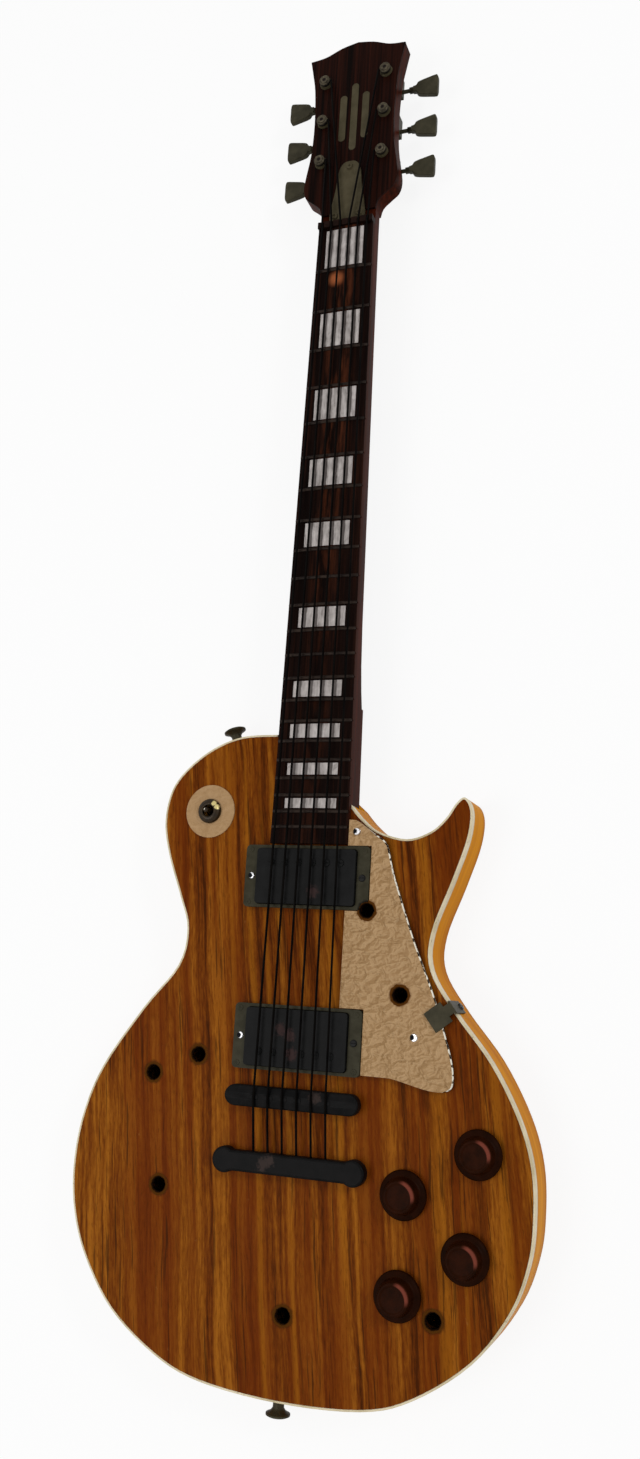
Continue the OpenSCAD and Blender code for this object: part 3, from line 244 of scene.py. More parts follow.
def top_wood():
    """Striped timber: nearly straight streaks over broad golden and reddish lanes."""
    finish = Finish("striped_top", roughness=0.5, specular=0.02)
    wander = (finish.noise((80, 190, 90), 2.0) - 0.5) * 11
    wander = wander + (finish.noise((18, 60, 40), 2.0, offset=(4, 2, 1)) - 0.5) * 3
    grain = finish.shifted(wander + finish.axis("Y") * GRAIN_LEAN)
    lanes = finish.noise((8, 700, 60), 2.0, offset=(3, 1, 2), at=grain)
    streaks = finish.noise((3.4, 110, 12), 4.0, 0.66, at=grain)
    fibres = finish.noise((1.3, 9, 4), 3.0, 0.62, offset=(2, 5, 2), at=grain)
    tone = streaks * 0.8 + lanes * 0.78 + fibres * 0.38 - 0.475
    colour = finish.ramp(tone, (0.29, shade(62, 26, 2)), (0.42, shade(98, 45, 5)),
                         (0.52, shade(118, 62, 9)), (0.68, shade(150, 89, 21)))
    redder = finish.ease(finish.noise((20, 700, 60), 2.0, offset=(9, 4, 1), at=grain), 0.5, 0.64)
    colour = finish.mix(redder * 0.6, colour, shade(100, 40, 3))
    golden = finish.ease(finish.noise((10, 700, 60), 2.0, offset=(5, 6, 1), at=grain), 0.56, 0.66)
    colour = finish.mix(golden * 0.5, colour, shade(146, 86, 14))
    lines = finish.ease(finish.noise((1.9, 70, 6), 3.0, 0.6, offset=(5, 2, 7), at=grain), 0.56, 0.63)
    lines = lines * finish.ease(finish.noise((14, 170, 60), 1.0, offset=(1, 8, 3), at=grain), 0.38, 0.54)
    colour = finish.mix(lines * 0.7, colour, shade(50, 23, 4))
    pores = finish.ease(finish.noise((0.6, 6, 2), 2.0, 0.5, offset=(2, 2, 2), at=grain), 0.58, 0.70)
    colour = finish.mix(pores * 0.42, colour, shade(62, 29, 4))
    wear_and_glare = finish.ease(finish.noise((6, 12, 9), 4.0, 0.66, offset=(4, 7, 1)), 0.67, 0.77)
    colour = finish.mix(wear_and_glare * 0.3, colour, shade(150, 103, 56))
    colour, dull = charred(finish, colour, wear_and_glare * 0.2 + finish.noise(14, 3.0) * 0.16 + 0.36)
    height = pores * -0.5 + streaks * 0.35 - lines * 0.3
    return finish.paint(Base_Color=colour, Roughness=dull, Normal=finish.bump(height, 0.12, 0.5))


def side_wood():
    """The plain amber timber of the back and sides, darker and scarred towards the lower edge."""
    finish = Finish("amber_back", roughness=0.55, specular=0.006)
    streaks = finish.noise((16, 120, 1.7), 3.0, 0.6)
    bands = finish.noise((40, 160, 9), 2.0, offset=(2, 5, 3))
    tone = streaks * 0.5 + bands * 0.6 - 0.05
    colour = finish.ramp(tone, (0.25, shade(174, 98, 2)), (0.45, shade(197, 124, 4)),
                         (0.62, shade(210, 138, 10)), (0.8, shade(226, 158, 30)))
    scars = finish.ease(finish.noise((10, 10, 7), 4.0, 0.65, offset=(8, 1, 5)), 0.66, 0.76)
    colour = finish.mix(scars * 0.4, colour, shade(112, 58, 14))
    low = finish.ease(finish.axis("Z"), 7, 0)
    colour = finish.mix(low * 0.35, colour, shade(140, 76, 16))
    colour, dull = charred(finish, colour, scars * 0.25 + streaks * 0.1 + 0.32)
    return finish.paint(Base_Color=colour, Roughness=dull,
                        Normal=finish.bump(streaks * 0.5 - scars * 0.5, 0.06, 0.5))


def edge_cream():
    """Aged cream plastic, with the grey line of glue where it meets the back."""
    finish = Finish("cream_edge", roughness=0.4, specular=0.25)
    age = finish.noise(22, 3.0, 0.6)
    colour = finish.ramp(age, (0.3, shade(182, 166, 128)), (0.5, shade(206, 192, 158)),
                         (0.7, shade(220, 208, 178)))
    grime_and_shadow = finish.ease(finish.noise(2.6, 3.0, 0.6, offset=(1, 1, 4)), 0.6, 0.74)
    colour = finish.mix(grime_and_shadow * 0.5, colour, shade(112, 92, 56))
    line = finish.ease((finish.axis("Z") - GLUE_LEVEL).math("ABSOLUTE"), 0.5, 0.2)
    colour = finish.mix(line * 0.6, colour, shade(104, 96, 70))
    return finish.paint(Base_Color=colour, Roughness=grime_and_shadow * 0.2 + 0.36,
                        Normal=finish.bump(grime_and_shadow * -1.0, 0.04, 0.5))


def dark_wood(name, deep, warm, size=1.6, reach=90, roughness=0.46):
    """Close dark timber, with its grain along the neck."""
    finish = Finish(name, roughness=roughness, specular=0.02)
    streaks = finish.noise((size, reach, size * 2), 3.0, 0.6)
    bands = finish.noise((size * 5, reach * 2, size * 9), 2.0, offset=(4, 1, 2))
    tone = streaks * 0.7 + bands * 0.45
    colour = finish.ramp(tone, (0.46, deep), (0.72, warm))
    pores = finish.ease(finish.noise((0.5, 8, 0.9), 2.0, offset=(3, 3, 1)), 0.6, 0.7)
    colour = finish.mix(pores * 0.4, colour, scaled(deep, 0.4))
    scuffs = finish.ease(finish.noise((5, 14, 5), 4.0, 0.65, offset=(7, 2, 6)), 0.68, 0.8)
    colour = finish.mix(scuffs * 0.25, colour, scaled(warm, 1.7))
    return finish.paint(Base_Color=colour, Roughness=scuffs * 0.2 + streaks * 0.16 + (roughness - 0.08),
                        Normal=finish.bump(pores * -0.6 + streaks * 0.3, 0.07, 0.6))


def board_wood():
    """The fretboard: nearly black, with painted glare: browner, glossier patches along its middle between the
    markers and one bright orange spot.
    """
    finish = Finish("fretboard_wood", roughness=0.5, specular=0.02)
    streaks = finish.noise((1.3, 70, 3), 3.0, 0.6)
    bands = finish.noise((7, 150, 9), 2.0, offset=(4, 1, 2))
    colour = finish.ramp(streaks * 0.65 + bands * 0.45, (0.42, shade(9, 4, 3)), (0.58, shade(22, 11, 8)),
                         (0.78, shade(46, 23, 14)))
    # Painted glare: browner, glossier patches along the middle of the board, stronger up the neck.
    middle = finish.ease((finish.axis("X") - 1).math("ABSOLUTE"), 15, 3)
    higher = finish.ease(finish.axis("Y"), 250, 500, 0.25, 1.0)
    patches = finish.ease(finish.noise((4, 34, 5), 3.0, 0.55, offset=(1, 6, 2)), 0.42, 0.66)
    wear_and_glare = middle * higher * patches
    colour = finish.mix(wear_and_glare * 0.8, colour, shade(84, 43, 25))
    # Painted glare: one bright orange spot.
    glare_spot = finish.ease(finish.off_line(((-5, 585),)), 8, 1)
    colour = finish.mix(glare_spot * 0.8, colour, shade(190, 108, 66))
    pores = finish.ease(finish.noise((0.45, 7, 0.9), 2.0, offset=(3, 3, 1)), 0.6, 0.7)
    colour = finish.mix(pores * 0.5, colour, shade(5, 3, 2))
    side = finish.ease(finish.axis("Z"), BOARD_FACE - 1.1, BOARD_FACE - 2.1)
    colour = finish.mix(side * 0.85, colour, shade(56, 25, 15))
    return finish.paint(Base_Color=colour, Roughness=0.5 - wear_and_glare * 0.16 + streaks * 0.08,
                        Normal=finish.bump(pores * -0.6 + streaks * 0.3, 0.08, 0.7))


def marker_shell():
    """Pale shell with drifting bands, dulled in patches by wear, and with painted string shadows along the
    lines under the strings.
    """
    finish = Finish("marker_shell", roughness=0.3, specular=0.3)
    cloud = finish.noise((7, 9, 5), 3.0, 0.55, 1.2)
    bands = finish.noise((2.2, 16, 4), 2.0, 0.5, 0.8, offset=(2, 8, 3))
    colour = finish.ramp(cloud * 0.5 + bands * 0.55, (0.32, shade(132, 124, 120)),
                         (0.5, shade(178, 170, 166)), (0.72, shade(212, 204, 200)))
    wear_and_highlight = finish.ease(finish.noise((2.4, 5, 3), 3.0, 0.6, offset=(5, 5, 1)), 0.62, 0.74)
    colour = finish.mix(wear_and_highlight * 0.45, colour, shade(92, 80, 70))
    # Painted shadow of the strings: darker along the line under each string.
    pitch = finish.axis("Y") * STRING_SPREAD + STRING_PITCH
    along = (finish.axis("X") - STRING_MIDDLE) / pitch + 0.5
    under = (along - along.math("ROUND")).math("ABSOLUTE") * pitch
    grime_and_shadow = finish.ease(under + (finish.noise((1.5, 6, 3), 2.0) - 0.5) * 1.6, 2.2, 1.25)
    colour = finish.mix(grime_and_shadow * 0.85, colour, shade(44, 33, 29))
    return finish.paint(Base_Color=colour, Roughness=wear_and_highlight * 0.3 + 0.26)


def dulled_metal(name, tone, patina, roughness=0.45, metallic=0.2, specular=0.08, scuff=None, spots=()):
    """Metal that has gone dark: cloudy patina, fine scratches, and pale scuffs from rubbing."""
    finish = Finish(name, roughness=roughness, metallic=metallic, specular=specular)
    cloud = finish.noise(9, 4.0, 0.6)
    colour = finish.ramp(cloud, (0.34, tone), (0.66, patina))
    scratch = finish.ease(finish.noise((0.5, 9, 3), 2.0, 0.5, 0.4, offset=(1, 4, 4)), 0.62, 0.72)
    colour = finish.mix(scratch * 0.16, colour, scaled(patina, 2.4, 0.01))
    dull = cloud * 0.3 + scratch * 0.1 + (roughness - 0.15)
    if spots:
        away = finish.off_line(spots) + (finish.noise(2.4, 4.0, 0.65, 0.6) - 0.5) * 11
        wear_and_glare = finish.ease(away, 5.2, 1.6)
        colour = finish.mix(wear_and_glare * 0.5, colour, scuff)
        dull = dull + wear_and_glare * 0.15
    return finish.paint(Base_Color=colour, Roughness=dull,
                        Normal=finish.bump(cloud * 0.6 - scratch * 0.4, 0.05, 0.5))


def hammered_tan(name, relief=1.0, burnt=False, base=(163, 128, 86)):
    """Tan sheet with a hammered face, with painted shade in its hollows and on one side of its ridges and
    painted highlight on the other; a burnt one is layered, with cream and black at its edge that also paint
    its pale edge line and dark shadow line.
    """
    finish = Finish(name, roughness=0.5, specular=0.16)
    ridges = finish.noise((7, 5.6, 6), 3.0, 0.52, 0.9)
    lumps = finish.noise(2.8, 2.0, 0.5, 0.4, offset=(6, 3, 2))
    height = ridges * 0.7 + lumps * 0.4
    # Painted shade and highlight: darker on one side of each ridge and paler on the other, from the height at
    # a shifted spot.
    beyond = finish.noise((7, 5.6, 6), 3.0, 0.52, 0.9, offset=(0.13, -0.1, 0)) * 0.7 + lumps * 0.4
    relief_shading = finish.ease(height - beyond, -0.045, 0.045)
    # Painted shade: darker in the hollows and lighter on the ridges.
    low = tuple(c - 9 for c in base)
    high = tuple(min(255, c + 8) for c in base)
    colour = finish.ramp(height, (0.36, shade(*low)), (0.55, shade(*base)), (0.78, shade(*high)))
    grime_and_shadow = finish.ease(finish.noise(11, 4.0, 0.62, offset=(3, 9, 5)), 0.6, 0.76)
    colour = finish.mix(grime_and_shadow * 0.3, colour, shade(112, 80, 46))
    colour = finish.mix(relief_shading * relief, finish.mix(0.2 * relief, colour, shade(104, 74, 42)),
                        finish.mix(0.22 * relief, colour, shade(206, 176, 138)))
    dull = grime_and_shadow * 0.15 + 0.44
    if burnt:
        colour, dull = charred(finish, colour, dull, halo=shade(88, 50, 12), spread=2.6)
        # The cream and black bands are the sheet's layers at its edge, and also paint its thin pale edge line
        # and dark shadow line.
        cream = finish.ease(finish.axis("Z"), GUARD_FACE - 0.28, GUARD_FACE - 0.42)
        colour = finish.mix(cream, colour, shade(214, 204, 184))
        black = finish.ease(finish.axis("Z"), GUARD_FACE - 1.0, GUARD_FACE - 1.15)
        colour = finish.mix(black, colour, shade(22, 16, 12))
    return finish.paint(Base_Color=colour, Roughness=dull, Normal=finish.bump(height, 3.2 * relief, 1.0))


def moulded(name, tone, lighter, roughness=0.45, specular=0.1, burnt=False, knobs=()):
    """Moulded plastic, mottled and scuffed by handling; knobs get a painted highlight, a pale crescent on one
    side of their lip.
    """
    finish = Finish(name, roughness=roughness, specular=specular)
    mottle = finish.noise(7, 4.0, 0.6)
    colour = finish.ramp(mottle, (0.35, tone), (0.68, lighter))
    wear_and_highlight = finish.ease(finish.noise(3.1, 4.0, 0.65, offset=(5, 1, 3)), 0.64, 0.78)
    colour = finish.mix(wear_and_highlight * 0.2, colour, scaled(lighter, 1.8, 0.01))
    dull = wear_and_highlight * 0.2 + mottle * 0.12 + (roughness - 0.08)
    if burnt:
        colour, dull = charred(finish, colour, dull, halo=shade(22, 18, 12), spread=1.6)
    if knobs:
        # Painted highlight: a pale pinkish crescent on the upper right of each knob's lip, on its top only.
        within = finish.ease(finish.off_line(knobs), KNOB_LIP + 0.9, KNOB_LIP + 0.2)
        beyond = finish.ease(finish.off_line([(x - 1.3, y - 0.9) for x, y in knobs]), KNOB_LIP - 0.6,
                             KNOB_LIP + 0.3)
        highlight_side = finish.ease(finish.off_line([(x + 7.8, y + 5.4) for x, y in knobs]), 9, 4.5)
        upper = finish.ease(finish.axis("Z"), FACE_LEVEL + 10, FACE_LEVEL + 12)
        colour = finish.mix(within * beyond * highlight_side * upper, colour, shade(112, 56, 43))
        skirt = finish.ease(finish.off_line(knobs), KNOB_LIP + 1.2, KNOB_LIP + 3.4)
        colour = finish.mix(skirt * 0.3, colour, shade(14, 4, 1))
    return finish.paint(Base_Color=colour, Roughness=dull,
                        Normal=finish.bump(finish.noise(0.7, 2.0) * 0.5 + wear_and_highlight * -0.5, 0.03, 0.5))


def bright_metal(name, tone, roughness=0.32):
    """Plain metal with a thin cloud of tarnish and fine scratches."""
    finish = Finish(name, roughness=roughness, metallic=0.9)
    cloud = finish.noise(5, 3.0, 0.6)
    colour = finish.ramp(cloud, (0.35, scaled(tone, 0.7)), (0.65, tone))
    return finish.paint(Base_Color=colour, Roughness=cloud * 0.25 + (roughness - 0.1),
                        Normal=finish.bump(finish.noise((0.4, 0.4, 3), 2.0), 0.02, 0.4))


def half_shaded_screws(name, spots):
    """Bright screw heads with a painted dark reflection in black on one side of each."""
    finish = Finish(name, roughness=0.22, metallic=0.9)
    cloud = finish.noise(1.2, 3.0, 0.6)
    colour = finish.ramp(cloud, (0.35, shade(196, 196, 200)), (0.65, shade(228, 228, 230)))
    # Painted dark reflection: black over one side of each head, leaving a bright glint.
    black = finish.ease(finish.off_line(spots) + (cloud - 0.5) * 1.2, 2.3, 1.5)
    colour = finish.mix(black, colour, shade(14, 14, 18))
    return finish.paint(Base_Color=colour, Roughness=black * 0.4 + cloud * 0.15 + 0.12,
                        Normal=finish.bump(finish.noise((0.4, 0.4, 3), 2.0), 0.02, 0.4))


def ply_chips_and_edge_shading():
    """The guard's outer bevel, in short chips of its cream and black layers, which also paint a pale edge
    highlight and a dark shadow line along it.
    """
    finish = Finish("ply_chips_and_edge_shading", roughness=0.5, specular=0.1)
    chips = finish.noise(3.0, 1.0, 0.4)
    colour = finish.ramp(chips, (0.42, shade(26, 18, 12)), (0.46, shade(120, 100, 76)),
                         (0.5, shade(236, 230, 214)))
    return finish.paint(Base_Color=colour, Roughness=chips * 0.3 + 0.35,
                        Normal=finish.bump(chips, 0.2, 0.6))


def string_metal():
    """Tarnished string, with the fine ridges of its winding along it."""
    finish = Finish("string_metal", roughness=0.55, metallic=0.1, specular=0.02)
    tarnish = finish.noise((3, 12, 3), 3.0, 0.6)
    colour = finish.ramp(tarnish, (0.35, shade(3, 2, 2)), (0.7, shade(12, 10, 8)))
    ridges = (finish.axis("Y") * (2 * math.pi / WINDING_PITCH)).math("SINE")
    return finish.paint(Base_Color=colour, Roughness=tarnish * 0.2 + 0.4,
                        Normal=finish.bump(ridges, 0.03, 0.5))


def post_tops():
    """String posts: a dull pale rim round a dark middle, with the dark turns of string below."""
    finish = Finish("post_tops", roughness=0.5, metallic=0.2, specular=0.06)
    tarnish = finish.noise(2.2, 3.0, 0.6)
    rim = finish.ramp(tarnish, (0.35, shade(52, 47, 38)), (0.68, shade(92, 84, 68)))
    middle = finish.ease(finish.off_line(POSTS), 1.7, 1.1)
    colour = finish.mix(middle, rim, shade(20, 13, 11))
    low = finish.ease(finish.axis("Z"), POST_TOP - 1.2, POST_TOP - 2.0)
    colour = finish.mix(low, colour, shade(16, 13, 12))
    return finish.paint(Base_Color=colour, Roughness=tarnish * 0.25 + 0.36,
                        Normal=finish.bump(tarnish, 0.04, 0.5))


def selector_brass(x, y):
    """Browned brass, with painted highlights: a pale patch on one shoulder and a bright dot on the lever's
    end.
    """
    finish = Finish("selector_brass", roughness=0.3, metallic=0.5, specular=0.3)
    cloud = finish.noise(5, 4.0, 0.6)
    colour = finish.ramp(cloud, (0.34, shade(24, 16, 6)), (0.66, shade(48, 34, 14)))
    # Painted highlights: a pale yellow patch on the dome's upper right shoulder and a white dot on the
    # lever's end.
    edge = (finish.noise(1.6, 3.0, 0.6) - 0.5) * 1.4
    wear_and_highlight = finish.ease(finish.off_line(((x + 4.0, y + 5.2), (x + 6.2, y + 2.6))) + edge, 2.1, 1.2)
    colour = finish.mix(wear_and_highlight, colour, shade(206, 190, 128))
    tip_glint = finish.ease(finish.off_line(((x - 1.2, y + 0.6),)), 1.1, 0.6)
    colour = finish.mix(tip_glint, colour, shade(240, 236, 220))
    return finish.paint(Base_Color=colour, Roughness=cloud * 0.2 + 0.2,
                        Normal=finish.bump(cloud, 0.04, 0.5))


def char_crust():
    """Crisp black charcoal with brown grit."""
    finish = Finish("char_crust", roughness=0.85, specular=0.02)
    grit = finish.noise(0.9, 3.0, 0.6)
    colour = finish.ramp(grit, (0.35, shade(6, 4, 3)), (0.7, shade(34, 19, 8)))
    away = finish.off_line(BURNS) + (finish.noise(2.2, 3.0, offset=(2, 6, 1)) - 0.5) * 1.6
    scorched = finish.ease(away, BURN_R - 0.8, BURN_R + 0.3)
    colour = finish.mix(scorched * 0.9, colour, shade(80, 45, 9))
    return finish.paint(Base_Color=colour, Roughness=grit * 0.2 + 0.7,
                        Normal=finish.bump(grit, 0.25, 0.8))


TOP = top_wood()
BACK = side_wood()
CREAM = edge_cream()
NECK = dark_wood("neck_wood", shade(36, 9, 1), shade(70, 24, 9), size=2.2)
FACE = dark_wood("headstock_wood", shade(8, 3, 2), shade(42, 17, 10), size=1.5, reach=120)
BOARD = board_wood()
SHELL = marker_shell()
RING = moulded("ring_plastic", shade(44, 41, 28), shade(58, 55, 42), specular=0.06, burnt=True)
COVER = dulled_metal("cover_metal", shade(11, 11, 11), shade(22, 22, 22), roughness=0.5,
                     scuff=shade(72, 52, 50), spots=((-9.7, 43), (-1.7, 28), (-4, 40), (6, 133)))
BRIDGE = dulled_metal("bridge_metal", shade(9, 9, 9), shade(20, 19, 19), roughness=0.46, specular=0.05,
                      scuff=shade(70, 58, 54), spots=((17, 3), (-16, -41), (-12, -38)))
OLIVE = dulled_metal("olive_metal", shade(46, 43, 31), shade(62, 58, 44))
PALE_OLIVE = dulled_metal("pale_olive_metal", shade(60, 54, 37), shade(76, 69, 51))
DARK_STEEL = dulled_metal("dark_steel", shade(40, 40, 40), shade(84, 82, 78), metallic=0.8, roughness=0.36)
FRET_WIRE = dulled_metal("fret_wire", shade(26, 20, 17), shade(48, 38, 32), metallic=0.4, roughness=0.45)
GUARD = hammered_tan("guard_sheet", burnt=True)
WASHER = hammered_tan("washer_sheet", relief=0.35, base=(166, 132, 92))
KNOB = moulded("knob_plastic", shade(27, 9, 2), shade(41, 16, 5), roughness=0.42, specular=0.02,
               knobs=KNOB_MIDDLES)
BLACK = moulded("black_plastic", shade(16, 16, 16), shade(28, 27, 26))
NUT = moulded("nut_plastic", shade(18, 9, 6), shade(32, 17, 12), specular=0.03)
POST = post_tops()
SELECTOR = selector_brass(*middle_of("switch_nut"))
STEEL = bright_metal("plain_steel", shade(168, 168, 170))
BRASS = bright_metal("plain_brass", shade(186, 150, 84))
STRING = string_metal()
CHAR = char_crust()
# Guard and ring screws, with painted dark reflections on the left of each head.
GUARD_SCREW = half_shaded_screws("guard_screw", tuple((x - 1.7, y + 0.2) for x, y in GUARD_SCREWS))
RING_SCREW = half_shaded_screws("ring_screw", tuple((x - 0.9, y) for x, y in RING_SCREWS))
PLY_CHIPS_AND_EDGE_SHADING = ply_chips_and_edge_shading()


# ---------- Making pieces ----------
def finished(name, shape, finish, body, replaced=(), sharp=38):
    """Turns a bmesh into a piece on a body, with smooth curved faces and crisp corners."""
    mesh = bpy.data.meshes.new(name)
    shape.to_mesh(mesh)
    shape.free()
    mesh.shade_smooth()
    mesh.set_sharp_from_angle(angle=math.radians(sharp))
    mesh.materials.append(finish)
    piece = bpy.data.objects.new(name, mesh)
    bpy.context.scene.collection.objects.link(piece)
    weighting = piece.modifiers.new("weighting", "WEIGHTED_NORMAL")
    weighting.keep_sharp = True
    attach(piece, body)
    if replaced:
        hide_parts(*replaced)
    return piece


def eased(node, finish, width=0.0, segments=2, pick=None, sharp=38, clamp=True):
    """A node's own shape with its doubled points merged and its picked edges rounded by a width."""
    shape = bmesh.new()
    shape.from_mesh(nodes[node].data)
    bmesh.ops.remove_doubles(shape, verts=shape.verts, dist=2e-6)
    bmesh.ops.dissolve_limit(shape, angle_limit=math.radians(0.6), verts=shape.verts, edges=shape.edges)
    if width:
        low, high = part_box(node)
        edges = [e for e in shape.edges
                 if len(e.link_faces) == 2 and e.calc_face_angle(0) > math.radians(35)
                 and (pick is None or pick(e, low, high))]
        bmesh.ops.bevel(shape, geom=edges, offset=width * MM, offset_type="OFFSET", affect="EDGES",
                        segments=segments, profile=0.5, material=-1, clamp_overlap=clamp)
    return finished(node + "_seen", shape, finish, BODY_OF[node], (node,), sharp)


def near_top(edge, low, high, reach=0.15 * MM):
    return all(v.co.z > high.z - reach for v in edge.verts)


def near_bottom(edge, low, high, reach=0.15 * MM):
    return all(v.co.z < low.z + reach for v in edge.verts)


def rim_edge(edge, low, high):
    """An edge on the outline, where the wall beside it is a tall one."""
    return max(v.co.z for f in edge.link_faces for v in f.verts) - min(
        v.co.z for f in edge.link_faces for v in f.verts) > 0.5 * (high.z - low.z)


def outer_bottom(edge, low, high):
    return near_bottom(edge, low, high) and rim_edge(edge, low, high)


def headstock_edge(edge, low, high, start=0.66):
    return all(v.co.y > start for v in edge.verts)


def board_shoulder(edge, low, high):
    """A long edge beside the fretboard's playing face."""
    along = abs(edge.verts[0].co.x - edge.verts[1].co.x) < 2 * MM
    upper = max(v.co.z for v in edge.verts) > high.z - 2.4 * MM
    return along and upper and edge.calc_length() > 5 * MM


def lid_edge(edge, low, high):
    """An edge at the rim of a lid's face."""
    at_rim = any(min(abs(v.co.x - low.x), abs(v.co.x - high.x), abs(v.co.y - low.y), abs(v.co.y - high.y))
                 < 0.3 * MM for v in edge.verts)
    return near_top(edge, low, high) and at_rim


def off_the_notches(edge, low, high):
    """An upper edge of the bridge's bar, outside the saddles' notches."""
    return all(v.co.z > low.z + 3.5 * MM and (abs(v.co.y) > 2.6 * MM or abs(v.co.x) > 30 * MM)
               for v in edge.verts)


def outer_guard_side(edge, low, high):
    """An edge of the guard's face on its outer side, clear of the burnt holes."""
    outward = max(f.normal.x for f in edge.link_faces) > 0.25
    outer = min(v.co.x for v in edge.verts) > 46 * MM and edge.verts[0].co.y > 12 * MM
    unburnt = all(math.hypot(v.co.x / MM - x, v.co.y / MM - y) > BURN_R + 1
                  for v in edge.verts for x, y in BURNS)
    return near_top(edge, low, high) and rim_edge(edge, low, high) and outward and outer and unburnt


def button_edge(edge, low, high):
    """A level edge of a tuner's button, and none on its shaft."""
    level = abs(edge.verts[0].co.z - edge.verts[1].co.z) < 0.2 * MM
    return level and max(abs(v.co.x) for v in edge.verts) > 41.5 * MM


def several_finishes(piece, choose, *others):
    """Gives each face of a piece its first finish or one of the others, as choose(middle, normal) says."""
    for finish in others:
        piece.data.materials.append(finish)
    for face in piece.data.polygons:
        face.material_index = choose(face.center / MM, face.normal)


def trim_screw_finish(middle, normal):
    """0 for a screw in the guard, 1 in a pickup's ring, 2 in the rod's cover and 3 behind."""
    if middle.y > NUT_LINE:
        return 2
    if middle.z < FACE_LEVEL:
        return 3
    in_guard = any(math.hypot(middle.x - x, middle.y - y) < SCREW_REACH for x, y in GUARD_SCREWS)
    return 0 if in_guard else 1


def repainted(node, finish):
    """A node that keeps its own shape and takes a finish."""
    nodes[node].data.materials.clear()
    nodes[node].data.materials.append(finish)


def spun(profile, x, y, closed=False):
    """A shape turned on the body's face from a half profile of (radius, height)."""
    shape = bmesh.new()
    points = [shape.verts.new((r * MM, 0, h * MM)) for r, h in profile]
    ends = points[1:] + points[:1] if closed else points[1:]
    edges = [shape.edges.new(pair) for pair in zip(points, ends)]
    bmesh.ops.spin(shape, geom=points + edges, cent=(0, 0, 0), axis=(0, 0, 1), angle=2 * math.pi,
                   steps=64, use_merge=True, use_duplicate=False)
    bmesh.ops.remove_doubles(shape, verts=shape.verts, dist=1e-6)
    bmesh.ops.recalc_face_normals(shape, faces=shape.faces)
    bmesh.ops.translate(shape, verts=shape.verts, vec=(x * MM, y * MM, FACE_LEVEL * MM))
    return shape


# ---------- Body ----------
eased("body_back", BACK, 3.0, 3, outer_bottom, sharp=30)
eased("body_top", TOP, sharp=30)
eased("body_binding", CREAM, 1.0, 3, near_top, sharp=30)
eased("neck", NECK, 0.7, 2, headstock_edge)
eased("headstock_face", FACE, 0.4, 2, near_top)
eased("headstock_ornament", PALE_OLIVE)
eased("truss_rod_cover", PALE_OLIVE, 0.45, 2, near_top)
eased("fretboard", BOARD, 0.5, 2, board_shoulder)
eased("frets", FRET_WIRE)
eased("fret_markers", SHELL)
eased("nut", NUT, 0.3, 2)

# ---------- Pickups ----------
for which in ("neck", "bridge"):
    eased(which + "_pickup_ring", RING, 0.7, 3, near_top)
    eased(which + "_pickup_cover", COVER, 1.4, 4, lid_edge)
    repainted(which + "_pickup_coils", BLACK)
for node, finish in (("pole_screws", COVER), ("bridge_saddles", BRIDGE),
                     ("bridge_posts", BRIDGE), ("tailpiece_studs", BRIDGE), ("switch_lever", SELECTOR),
                     ("strap_buttons", OLIVE), ("tuner_bushings", PALE_OLIVE), ("output_jack", STEEL),
                     ("strings", STRING)):
    eased(node, finish)
# Left-hand height screws get a painted dark reflection beside a bright glint; right-hand ones are painted all
# black, as a dark reflection.
several_finishes(eased("pickup_height_screws", RING_SCREW), lambda middle, normal: int(middle.x > 0), BLACK)
several_finishes(eased("trim_screws", GUARD_SCREW), trim_screw_finish, RING, PALE_OLIVE, DARK_STEEL)

# ---------- Bridge and tailpiece ----------
eased("bridge_bar", BRIDGE, 1.3, 4, off_the_notches)
eased("tailpiece", BRIDGE, 1.9, 4, near_top)

# ---------- Guard ----------
guard = eased("pickguard", GUARD, 0.75, 1, outer_guard_side, clamp=False)
# The outer bevel on the right-hand side takes the chips, with their painted edge highlight and shadow line.
several_finishes(guard, lambda middle, normal: int(0.3 < normal.z < 0.95), PLY_CHIPS_AND_EDGE_SHADING)
eased("guard_bracket", OLIVE, 0.35, 2)
eased("switch_washer", WASHER, 0.3, 2, near_top)
eased("jack_ferrule", STEEL, 0.5, 3)
eased("control_cover", BLACK, 0.3, 2, near_bottom)

# ---------- Knobs and selector ----------
for which, (x, y) in zip(KNOBS, KNOB_MIDDLES):
    low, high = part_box(which)
    r = (high.x - low.x) / 2 / MM
    top = high.z / MM - FACE_LEVEL
    cap = [(0, top - 0.55), (r * 0.46, top - 0.55), (r * 0.50, top - 0.4), (r * 0.54, top - 0.05),
           (r * 0.58, top), (r * 0.62, top - 0.25), (r * 0.66, top - 0.9), (r * 0.735, 6.4)]
    skirt = [(r * 0.77, 5.7), (r * 0.84, 5.2), (r * 0.93, 4.7), (r * 0.985, 4.0), (r * 0.998, 3.2),
             (r * 0.999, 2.6), (r * 0.985, 2.05), (r * 0.95, 1.95)]
    underside = [(3.2, 1.95), (3.2, 3.0), (0, 3.0)]
    finished(which + "_seen", spun(cap + skirt + underside, x, y), KNOB, BODY_OF[which],
             (which,), sharp=50)

dome = [(4.3, 4.6), (5.2, 4.7), (6.05, 4.55), (6.6, 4.2), (7.4, 3.9), (8.1, 3.2), (8.5, 2.2), (8.58, 1.3)]
underside = [(8.4, 1.0), (4.6, 1.0), (4.4, 1.2)]
finished("switch_nut_seen", spun(dome + underside, *middle_of("switch_nut"), closed=True), SELECTOR,
         BODY_OF["switch_nut"], ("switch_nut",), sharp=60)

# ---------- Tuners ----------
eased("tuner_housings", OLIVE, 0.9, 3, near_bottom)
for k in range(1, 7):
    eased("tuner_button_%d" % k, OLIVE, 1.1, 3, button_edge)
    eased("tuner_post_%d" % k, POST)

